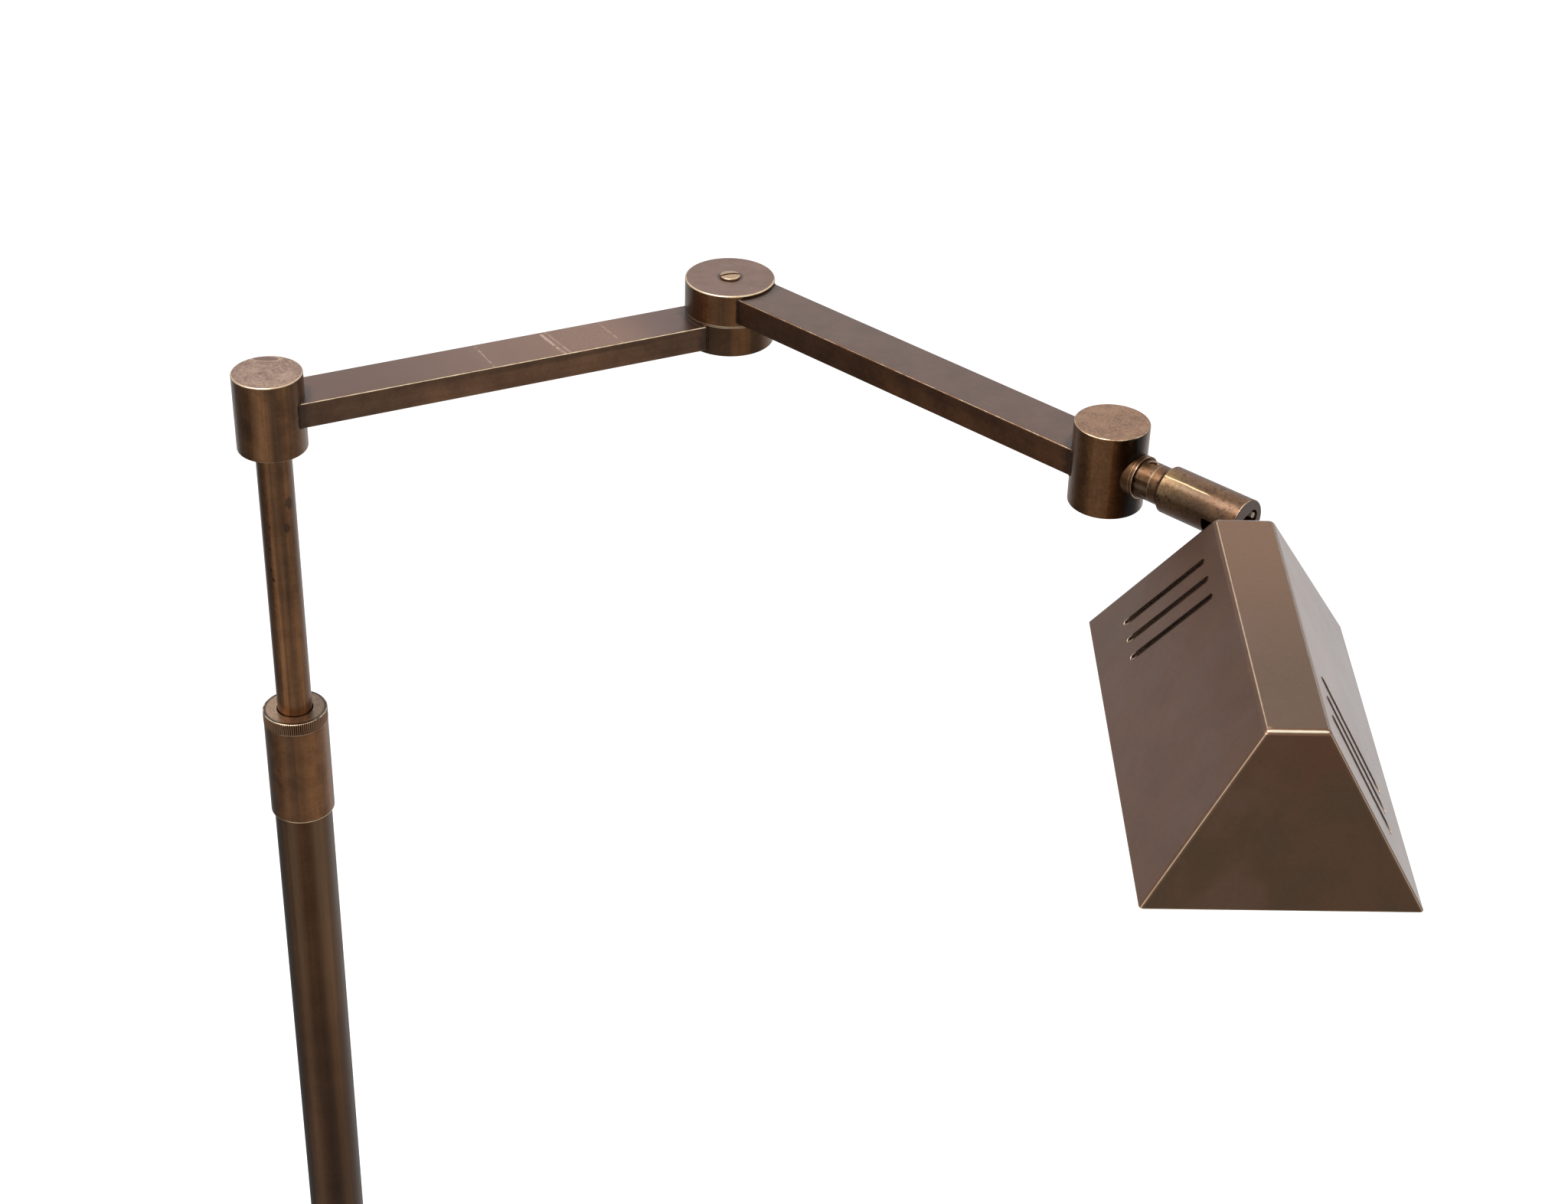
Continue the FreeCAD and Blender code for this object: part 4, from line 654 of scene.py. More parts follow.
def etched(p, dark, pale, size=1.1):
    """The mottled face on top of a hub, with a fine etched grain."""
    grain = p.noise(size, detail=5.0, rough=0.8, seed=p.seed + 0.5)
    clouds = p.noise(7.0, detail=4.0, rough=0.6, seed=p.seed + 0.7)
    share = p.step(grain * 1.1 + clouds * 0.5, 0.60, 0.98)
    p.stain(p.skin(p.top), p.mix(share, dark, pale))


def lower_hub():
    p = Patina("lower_hub", tone=1.12, cloud=9, seed=6, wax=0.6, tint=(1, 0.95, 0.75))
    p.upright()
    # Painted reflection bands round the hub.
    p.bands(
        (-90, 0.75), (-55, 0.9), (-35, 1.1), (-24, 1.1), (-15, 1.3), (-4, 1.75), (3, 1.6),
        (9, 1.1), (15, 0.65), (24, 0.85), (35, 1.4), (44, 1.1), (55, 0.85), (75, 1.0),
        (110, 1.0))
    p.streak(0.16, 0.9)
    p.specks(0.9, 0.22, SOOT, 0.75)
    p.specks(0.7, 0.16, (0.45, 0.30, 0.22))
    etched(p, (0.175, 0.088, 0.055), (0.50, 0.325, 0.235))
    oval = ((p.x + 2.6) / 5.6) ** 2.0 + ((p.y - 12.2) / 2.0) ** 2.0
    face = p.skin(p.top)
    p.stain(face * p.step(oval, 0.8, 1.2, 0.9, 0.0), (0.195, 0.100, 0.068))
    p.stain(face * p.step(abs(oval - 1.35), 0.15, 0.4, 0.8, 0.0), (0.56, 0.38, 0.28))
    p.rub_rims((0.62, 0.85, 0.4), (0.5, 0.6, 0.5))
    p.end()


def upper_hub():
    p = Patina("upper_hub", "upper_hub_plug", tone=1.1, cloud=9, seed=7, wax=0.5,
               tint=(1, 0.90, 0.6))
    p.upright()
    # Painted reflection bands round the hub, very dark on its right where it reflects the sleeve
    # and shade.
    p.bands(
        (-70, 0.95), (-57, 0.9), (-44, 1.0), (-33, 1.25), (-22, 1.05), (-12, 1.1), (-5, 1.4),
        (5, 0.95), (14, 0.50), (22, 0.20), (34, 0.06), (46, 0.08), (70, 1.0))
    p.streak(0.10, 1.1)
    mottle = p.noise(1.1, detail=4.0, rough=0.75, seed=7.5)
    p.shade_by(p.fan(mottle, 0.80, 1.22))
    p.specks(1.3, 0.35, reach=0.22)
    p.specks(0.8, 0.45, (0.06, 0.026, 0.011), reach=0.24)
    etched(p, (0.195, 0.096, 0.050), (0.40, 0.225, 0.128), 0.9)
    p.rub_rims((0.5, 0.8, 0.6), (0.4, 0.5, 0.5))
    p.end()


def lower_knuckle():
    p = Patina("lower_knuckle", cloud=9, seed=8, wax=0.45, tint=(1, 0.92, 0.68))
    p.upright()
    # Painted reflection bands round the knuckle.
    p.bands(
        (-60, 1.0), (-20, 0.5), (2, 0.55), (9, 1.25), (14, 1.1), (19, 1.5), (27, 1.3),
        (31, 0.75), (42, 0.62), (60, 0.95), (85, 1.0))
    p.streak(0.12, 1.1)
    p.rub_rims((0.40, 0.75, 0.3), (0.3, 0.4))
    p.end()


def upper_knuckle():
    p = Patina("upper_knuckle", cloud=9, seed=9, wax=0.45, tint=(1, 0.90, 0.64))
    p.upright()
    # Painted reflection bands round the knuckle.
    p.bands(
        (-90, 0.7), (-75, 0.8), (-60, 0.85), (-48, 0.65), (-36, 1.0), (-25, 1.45), (-12, 0.8),
        (-5, 0.7), (7, 1.25), (13, 1.5), (20, 0.7), (28, 0.55), (35, 1.1), (60, 1.0))
    p.streak(0.12, 1.1)
    mist = p.noise(7.0, detail=5.0, rough=0.65, seed=9.5)
    face = p.mix(p.fan(mist), (0.205, 0.116, 0.084), (0.258, 0.153, 0.117))
    p.stain(p.skin(p.top), face)
    # Painted shadow: a dark ring round the screw head.
    p.stain(p.step(p.away(KNUCKLE), 5.3, 6.6, 0.9, 0.0), (0.060, 0.030, 0.020))
    p.rub_rims((0.72, 1.0, 0.35), (0.40, 0.75, 0.3))
    p.end()


def lower_arm():
    p = Patina("lower_arm_tube", name="lower_arm", tone=1.02, cloud=14, seed=12, wax=0.8)
    p.bar(HUB, LOWER_ALONG, LOWER_WIDTH)
    p.streak(0.10, 2.0, (30, 30, 1))
    face = p.skin(p.top, 0.25)
    tone = p.mix(p.step(p.run, 30, 155), (0.135, 0.062, 0.040), (0.245, 0.125, 0.080))
    p.stain(face, p.mix(p.step(p.run, 158, 190), tone, (0.132, 0.064, 0.047)))
    # Painted sheen: the side is made up to half again lighter along the middle of the arm.
    flank = p.step(p.top, 2.0, 4.0) * p.step(p.side, 0.3, 0.1)
    p.shade_by(1 + flank * p.step(abs(p.run - 118), 74, 36, 0.0, 0.5))
    grain = p.noise(0.9, rough=0.7, seed=13)
    speckled = p.step(p.run, 128, 133) * p.step(p.run, 162, 156) * face
    p.stain(speckled * p.step(grain, 0.50, 0.70, 0.0, 0.65), (0.36, 0.22, 0.155))
    pink = p.step(p.run, 92, 98) * p.step(p.run, 112, 100) * face
    p.stain(pink * p.step(grain, 0.35, 0.65, 0.1, 0.5), (0.235, 0.130, 0.092))
    ragged = p.noise(1.4, detail=4.0, seed=14)
    for start, slant, half, strength, ragging in SCRATCHES:
        away = p.run - (p.across * slant + start) + (ragged - 0.5) * ragging
        mask = face * p.step(abs(away), half, half + 0.45, strength, 0.0)
        broken = p.step(p.noise(2.4, detail=2.0, seed=start), 0.36, 0.56)
        p.stain(mask * broken, SCRATCH)
    p.specks(0.9, 0.10, (0.50, 0.34, 0.24), 0.5)
    darken_arm_ends(p, (HUB, HUB_RADIUS), (KNUCKLE, KNUCKLE_RADIUS))
    p.rub_rims((0.44, 0.95, 0.35, (0.92, 0.74, 0.50)), (0.26, 0.6, 0.8))
    p.end()


def upper_arm():
    p = Patina("upper_arm_tube", name="upper_arm", cloud=14, seed=14, wax=0.8,
               tint=(1.1, 0.92, 0.7))
    p.bar(KNUCKLE, UPPER_ALONG, UPPER_WIDTH)
    p.streak(0.10, 2.0, (30, 30, 1))
    mist = p.noise(10.0, detail=4.0, rough=0.6, seed=14.5)
    face = p.mix(p.fan(mist), (0.112, 0.055, 0.036), (0.142, 0.072, 0.048))
    p.stain(p.skin(p.top, 0.25), face)
    # Painted light and shade on the lower part of the side: darker near the knuckle, up to half
    # again lighter further on.
    low_side = p.step(p.top, 2.0, 9.0) * p.step(p.side, 0.3, 0.1)
    paler = p.step(p.run, 90, 120, -0.15, 0.5) - p.step(p.run, 165, 195, 0.0, 0.2)
    p.shade_by(1 + low_side * paler)
    darken_arm_ends(p, (KNUCKLE, KNUCKLE_RADIUS), (ELBOW, ELBOW_RADIUS))
    p.rub_rims((0.36, 0.7, 0.5), (0.26, 0.5, 0.8))
    p.end()


def darken_arm_ends(p, *ends):
    """Darkens an arm close to the round pieces at its two ends, unevenly."""
    lumps = (p.noise(2.5, detail=4.0, seed=p.seed + 0.2) - 0.5) * 6.0
    for centre, radius in ends:
        p.shade_by(p.step(p.away(centre) - radius + lumps, 0.8, 5.0, 0.42, 1.0))


def screw():
    p = Patina("knuckle_screw", tone=1.8, cloud=4, seed=15)
    p.upright()
    p.stain(p.step(p.top, 1.3, 1.0), (0.47, 0.30, 0.17))
    p.rub(abs(p.away(KNUCKLE) - SCREW_HEAD).most(p.top - 0.9), 0.4, 0.8)
    p.end()


class LAMP_OT_arms(bpy.types.Operator):
    """Finishes the two hubs, the two arms and the knuckle between them"""

    bl_idname = "lamp.arms"
    bl_label = "Arms"

    def execute(self, context):
        pieces = (lower_hub, upper_hub, lower_knuckle, upper_knuckle, lower_arm, upper_arm, screw)
        for finish in pieces:
            finish()
        return {"FINISHED"}


# Head


def stub_ring():
    p = Patina("stub_ring", tone=1.15, cloud=5, seed=16, wax=0.5, tint=(1, 0.93, 0.75))
    p.lying(RING_RADIUS)
    p.rub(p.side.most(RING_END - p.run), 0.45, 0.9)
    p.rub(p.side.most(abs(p.run - 16.8)), 0.18, 0.5)
    p.end()


def stub():
    p = Patina("head_stub", tone=0.95, cloud=5, seed=17, wax=0.4, tint=(1, 0.93, 0.72))
    p.lying(STUB_RADIUS)
    wear_and_sheen = p.noise(4.0, detail=4.0, seed=17.5)
    # Painted highlight: paler patches on the stub's upper near side.
    lit = p.step(abs(p.angle - 40), 70, 20) * p.step(wear_and_sheen, 0.4, 0.65, 0.2, 0.9)
    p.stain(lit * 0.55, (0.21, 0.115, 0.058))
    p.specks(2.0, 0.6, (0.045, 0.020, 0.009), 0.8, 0.26)
    # Painted shade at the joints with the ring and the sleeve.
    p.shade_by(p.step(abs(p.run - 18.7).least(abs(p.run - 30.1)), 0.25, 0.7, 0.45, 1.0))
    p.rub(p.side.most(abs(p.run - 25.8)), 0.25, 0.4)
    hole = ((p.run - 22.3) ** 2.0 + ((p.angle + 8) * 0.143) ** 2.0) ** 0.5
    rim = p.step(hole, 1.7, 2.3, 0.6, 0.0) * p.step(p.side, 0.5, 0.1)
    p.stain(rim, (0.55, 0.38, 0.25))
    # Painted light: the inside of the cross hole, and all else over a millimetre under the round
    # face, is painted pale.
    p.stain(p.step(p.side, 0.5, 1.2), (0.75, 0.60, 0.45))
    p.end()


def sleeve():
    p = Patina("head_sleeve", tone=1.05, cloud=6, seed=18, wax=0.6, tint=(1, 0.93, 0.72))
    p.lying(SLEEVE_RADIUS)
    wear_and_sheen = p.noise(6.0, detail=5.0, rough=0.65, seed=19)
    # The upper near side gets paler and golden patches, partly rubbed wear and partly painted
    # highlight.
    lit = p.step(abs(p.angle - 46), 58, 22)
    gold = p.step(p.run + (wear_and_sheen - 0.5) * 26, 56, 31) * lit
    p.stain(lit * p.step(wear_and_sheen, 0.35, 0.65, 0.25, 0.65), (0.150, 0.088, 0.050))
    p.stain(gold * p.step(wear_and_sheen, 0.30, 0.55, 0.2, 0.8), (0.27, 0.165, 0.072))
    # Painted shade in the middle of that side to soften its sheen, and painted light along the top.
    p.shade_by(1 - lit * p.step(abs(p.run - 46), 13, 6, 0.0, 0.30))
    p.shade_by(p.step(p.angle, 24, 8, 1.0, 1.3))
    fine = p.noise(0.9, detail=4.0, rough=0.75, seed=19.5)
    p.shade_by(p.fan(fine, 0.72, 1.30))
    p.specks(2.6, 0.60, (0.075, 0.032, 0.013), 0.85, 0.27)
    p.specks(1.3, 0.50, (0.070, 0.030, 0.013), 0.7, 0.26)
    p.specks(1.7, 0.30, (0.36, 0.235, 0.115), 0.7, 0.20)
    line = p.angle - 31 + (wear_and_sheen - 0.5) * 6
    glint = p.step(abs(line), 0.6, 2.4, 0.85, 0.0) * p.step(p.run, 56, 50)
    p.stain(glint, (0.62, 0.45, 0.24))
    p.rub(p.side.most(p.run - SLEEVE_START), 0.7, 0.9)
    p.rub(p.side.most(SLEEVE_END - p.run), 0.7, 0.95)
    p.stain(p.step(SLEEVE_END - p.run, 0.4, 0.1), (0.135, 0.085, 0.060))
    p.end()


def lug():
    Patina("shade_lug", "lug_nut", "lug_washer", name="lug", cloud=6, seed=20).end()


class LAMP_OT_head(bpy.types.Operator):
    """Finishes the stub, its ring and the slotted sleeve that carries the shade"""

    bl_idname = "lamp.head"
    bl_label = "Head"

    def execute(self, context):
        for finish in (stub_ring, stub, sleeve, lug):
            finish()
        return {"FINISHED"}


# Shade


def tint_faces(p, along, across, up, side, hip, top):
    """Gives the ridge and the front their own browns, and paints reflection on the long sides."""
    right = p.skin(side) * p.step(across, 0, 5)
    ridge = p.mix(p.step(along, -60, 40), (0.205, 0.099, 0.046), (0.133, 0.069, 0.034))
    p.stain(p.step(top, 0.35, 0.05), ridge)
    # Painted reflection: a paler brown on the right side.
    clouds = p.noise(30, seed=22)
    p.stain(right * p.fan(clouds, 0.5, 0.8), (0.196, 0.112, 0.086))
    drift = p.noise(22, detail=5.0, seed=22.2)
    earth = p.mix(p.step(drift, 0.35, 0.65), (0.108, 0.057, 0.024), (0.134, 0.063, 0.025))
    rust = p.step(drift + (up - 40) / 120, 0.50, 0.70, 0.0, 0.7)
    p.stain(p.skin(hip) * p.step(along, 0, 10), p.mix(rust, earth, (0.138, 0.053, 0.020)))
    # Painted reflection: the left side a little lighter, the right side lighter higher up.
    p.shade_by(1 + p.skin(side) * p.step(across, 0, -5) * 0.12)
    p.shade_by(1 + right * p.step(up, 25, 50) * 0.35)
    p.wax = 1 - right * 0.2
    paler = p.step(drift, 0.45, 0.65, 0.0, 0.35) * p.step(abs(across + 55), 60, 40)
    p.stain(paler, (0.175, 0.098, 0.072))


def scratch(p, along, up, face):
    """The two faint scratches near the right side's rim."""
    reach = (p.noise(6.0, detail=4.0, seed=23) - 0.5) * 5.0
    first = abs(along - 14 - (up - 9) * 1.2 + reach)
    second = abs(along - 22 - (up - 22) * 1.5 - reach)
    window = p.step(abs(up - 14), 14, 10) * p.step(abs(along - 14), 15, 11)
    line = p.step(first.least(second), 0.15, 0.6, 0.45, 0.0)
    p.stain(face * window * line, (0.06, 0.035, 0.028))


class LAMP_OT_shade(bpy.types.Operator):
    """Finishes the folded shade"""

    bl_idname = "lamp.shade"
    bl_label = "Shade"

    def execute(self, context):
        p = Patina("shade_shell", name="shade", tone=1.15, cloud=26, seed=21,
                   tint=(1.08, 0.98, 0.98), spread=0.55)
        along, across, up = (
            p.along(SHADE_RIM, way) for way in (SHADE_ALONG, SHADE_ACROSS, SHADE_UP)
        )
        side, hip = (
            (width / 2 - abs(place) - up * lean) / math.hypot(1, lean)
            for width, place, lean in (
                (SHADE_WIDTH, across, SHADE_SIDE_LEAN), (SHADE_LENGTH, along, SHADE_HIP_LEAN))
        )
        top = SHADE_HEIGHT - up
        tint_faces(p, along, across, up, side, hip, top)
        fine = p.noise(1.0, detail=4.0, rough=0.7, seed=22.5)
        p.shade_by(p.step(fine, 0.25, 0.75, 0.93, 1.07))
        # Painted light: the vents' cut walls, within the sheet's thickness, are painted pale.
        walls = p.step(side, 0.12, 0.3) * p.step(side, 1.25, 1.1) * p.step(up, 8, 12)
        walls = walls * p.step(hip, 3, 4) * p.step(top, 3, 4)
        p.stain(walls * p.step(fine, 0.4, 0.6, 0.4, 0.9), (0.42, 0.29, 0.20))
        p.rub(top.most(hip), 0.95, 1.0, 0.10, (0.97, 0.84, 0.62))
        p.rub(top.most(side), 0.52, 0.85, 0.12, FOLD_BRASS)
        p.rub(side.most(hip), 0.60, 0.8, 0.10, FOLD_BRASS)
        p.rub(side.least(hip).most(up), 0.34, 0.5, 0.6)
        scratch(p, along, up, p.skin(side) * p.step(across, 0, 5))
        p.end(pitch=0.5)
        return {"FINISHED"}


# Small pieces that follow a path


class Shaper(Bench):
    """A geometry tree with named inputs that is used once and ends as a plain mesh."""

    def __init__(self, name, **sizes):
        super().__init__(bpy.data.node_groups.new(name, "GeometryNodeTree"))
        face = self.tree.interface
        face.new_socket("Path", in_out="INPUT", socket_type="NodeSocketGeometry")
        self.sizes = {}
        for title, value in sizes.items():
            kind = "NodeSocketInt" if isinstance(value, int) else "NodeSocketFloat"
            entry = face.new_socket(title, in_out="INPUT", socket_type=kind)
            self.sizes[entry.identifier] = value
        face.new_socket("Piece", in_out="OUTPUT", socket_type="NodeSocketGeometry")
        self.entry = self.tree.nodes.new("NodeGroupInput")

    def given(self, title):
        return Wire(self, self.entry.outputs[title])

    def end(self, geometry, material):
        plain = self.node("GeometryNodeRealizeInstances", None, {"Geometry": geometry})
        done = self.node("GeometryNodeSetMaterial", None, {"Geometry": plain, "Material": material})
        self.node("NodeGroupOutput", None, {"Piece": done})

    def make(self, name, body, *loops, closed=True):
        """Runs the tree on loops of points in millimetres and leaves one plain mesh."""
        path = wire_path(name + "_path", loops, closed)
        piece = put(name, path)
        modifier = piece.modifiers.new("shaper", "NODES")
        modifier.node_group = self.tree
        for identifier, value in self.sizes.items():
            modifier[identifier] = value
        bpy.context.view_layer.update()
        seen = piece.evaluated_get(bpy.context.evaluated_depsgraph_get())
        mesh = bpy.data.meshes.new_from_object(seen)
        mesh.name = name
        piece.modifiers.clear()
        piece.data = mesh
        bpy.data.meshes.remove(path)
        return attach(piece, body)


def wire_path(name, loops, closed):
    """A mesh of edges through each loop's points."""
    spots = []
    edges = []
    for loop in loops:
        first = len(spots)
        spots += [tuple(Vector(spot) / PER_METRE) for spot in loop]
        edges += [(i, i + 1) for i in range(first, len(spots) - 1)]
        if closed:
            edges.append((len(spots) - 1, first))
    mesh = bpy.data.meshes.new(name)
    mesh.from_pydata(spots, edges, [])
    return mesh


def bead_tree(name, material, bead, unevenness=0.0, sides=8, step=0.5, swell=0.0, seed=0.0):
    """A bead of metal along a path, thicker and thinner where it swells, as solder runs."""
    tree = Shaper(name, Radius=bead / PER_METRE, Unevenness=unevenness / PER_METRE,
                  Step=step / PER_METRE, Sides=sides, Seed=seed)
    curve = tree.node("GeometryNodeMeshToCurve", None, {"Mesh": tree.given("Path")})
    evenly = {"Curve": curve, "Length": tree.given("Step")}
    curve = tree.node("GeometryNodeResampleCurve", {"mode": "LENGTH"}, evenly)
    where = tree.node("GeometryNodeInputPosition")
    lumps = tree.clouds(where, tree.given("Seed"), 420.0)
    swollen = (lumps - 0.5) * 2.0 * swell + 1.0
    swelling = {"Curve": curve, "Radius": swollen}
    curve = tree.node("GeometryNodeSetCurveRadius", None, swelling)
    ring = {"Resolution": tree.given("Sides"), "Radius": tree.given("Radius")}
    ring = tree.node("GeometryNodeCurvePrimitiveCircle", None, ring)
    parts = {"Curve": curve, "Profile Curve": ring, "Scale": swollen, "Fill Caps": True}
    made = tree.node("GeometryNodeCurveToMesh", None, parts)
    rough = tree.clouds(where, tree.given("Seed"), 900.0, 2.0, out="Color")
    shift = tree.vector("SUBTRACT", rough, (0.5, 0.5, 0.5))
    shift = tree.vector("SCALE", shift, tree.given("Unevenness"))
    moved = tree.node("GeometryNodeSetPosition", None, {"Geometry": made, "Offset": shift})
    tree.end(moved, material)
    return tree


def coil(start, end, first, second, radius, turns, steps):
    """Points of a coil from start to end, round the two directions of its turns."""
    count = turns * steps
    for i in range(count + 1):
        turn = 2 * math.pi * i / steps
        out = first * math.cos(turn) + second * math.sin(turn)
        yield start + (end - start) * (i / count) + out * radius


class LAMP_OT_braze_seams(bpy.types.Operator):
    """Runs a thin bead of braze round each joint of an arm with a hub or knuckle"""

    bl_idname = "lamp.braze_seams"
    bl_label = "Braze seams"

    CORNER = 1.5
    CORNER_STEPS = 5
    UNEVENNESS = 0.35

    def execute(self, context):
        lower = ("lower_arm", LOWER_WIDTH / 2)
        upper = ("upper_arm", UPPER_WIDTH / 2)
        seams = (
            ("lower_hub_braze", *lower, HUB, LOWER_ALONG, HUB_RADIUS),
            ("lower_knuckle_braze", *lower, KNUCKLE, -LOWER_ALONG, KNUCKLE_RADIUS),
            ("upper_knuckle_braze", *upper, KNUCKLE, UPPER_ALONG, KNUCKLE_RADIUS),
            ("upper_hub_braze", *upper, ELBOW, -UPPER_ALONG, ELBOW_RADIUS),
        )
        material = self.braze()
        bead = context.scene.lamp_details.braze_bead * PER_METRE
        for name, body, half, centre, direction, radius in seams:
            low, high = corners(body + "_tube")
            loop = []
            for across, height in self.outline(half, low.z, high.z):
                out = math.sqrt(radius**2 - across**2)
                spot = centre + direction * out + sideways(direction) * across
                loop.append((spot.x, spot.y, height))
            tree = bead_tree(name, material, bead, self.UNEVENNESS, swell=0.5)
            tree.make(name, body, loop)
        return {"FINISHED"}

    def outline(self, half, low, high):
        """Points round a flat tube's cross-section, as pairs of side place and height."""
        tall = (high - low) / 2
        for across, up, first in ((1, 1, 0), (-1, 1, 90), (-1, -1, 180), (1, -1, 270)):
            for cosine, sine in arc(first, 90, self.CORNER_STEPS):
                yield (
                    across * (half - self.CORNER) + self.CORNER * cosine,
                    low + tall + up * (tall - self.CORNER) + self.CORNER * sine,
                )

    def braze(self):
        p = Patina(name="braze", tone=0.42, cloud=2.0, seed=31, wax=0.3, tint=(1, 0.95, 0.95))
        p.specks(0.8, 0.35, (0.30, 0.19, 0.16), 0.7)
        return p.end(depth=0.2)


class LAMP_OT_vent_edges(bpy.types.Operator):
    """Lines each vent of the shade with the thin burr of its punched edge"""

    bl_idname = "lamp.vent_edges"
    bl_label = "Vent edges"

    # Of each row: side of the shade, first place along the rim, and lean in degrees
    ROWS = ((1, 26.9, 15.0), (-1, 23.4, 18.5))
    IN_A_ROW = 3
    PITCH = 11.2
    HALF_WIDTH = 1.3
    LOW = 20.5
    HIGH = 67.0
    END_STEPS = 6
    UNEVENNESS = 0.06

    def execute(self, context):
        burr = context.scene.lamp_details.vent_burr * PER_METRE
        loops = [
            self.loop(side, place + self.PITCH * i, math.radians(lean))
            for side, place, lean in self.ROWS for i in range(self.IN_A_ROW)
        ]
        tree = bead_tree(
            "vent_burr", self.burr(), burr, self.UNEVENNESS, sides=6, step=0.8, swell=0.6
        )
        tree.make("vent_edges", "shade", *loops)
        return {"FINISHED"}

    def loop(self, side, place, lean):
        """Points round one vent on the shade's outer face."""
        length = (self.HIGH - self.LOW) / math.cos(lean)
        heading = Vector((-math.sin(lean), -math.cos(lean)))
        normal = Vector((heading.y, -heading.x))
        start = Vector((-place, self.HIGH))
        slope = math.atan(1 / SHADE_SIDE_LEAN)
        for centre, first in ((start + heading * length, -90), (start, 90)):
            for cosine, sine in arc(first, 180, self.END_STEPS):
                out = heading * cosine - normal * sine
                along, rise = centre + out * self.HALF_WIDTH
                across = SHADE_WIDTH / 2 - rise * math.cos(slope)
                spot = SHADE_ALONG * along - SHADE_ACROSS * across
                yield SHADE_RIM + spot * side + SHADE_UP * rise * math.sin(slope)

    def burr(self):
        p = Patina(name="vent_burr", tone=0.55, cloud=3.0, seed=33, wax=0.5)
        low = p.along(SHADE_RIM, SHADE_UP)
        # Painted highlight: the lower end of each burr is painted pale.
        p.stain(p.step(low, 20.5, 18.2) * 0.9, (0.80, 0.62, 0.45))
        return p.end()


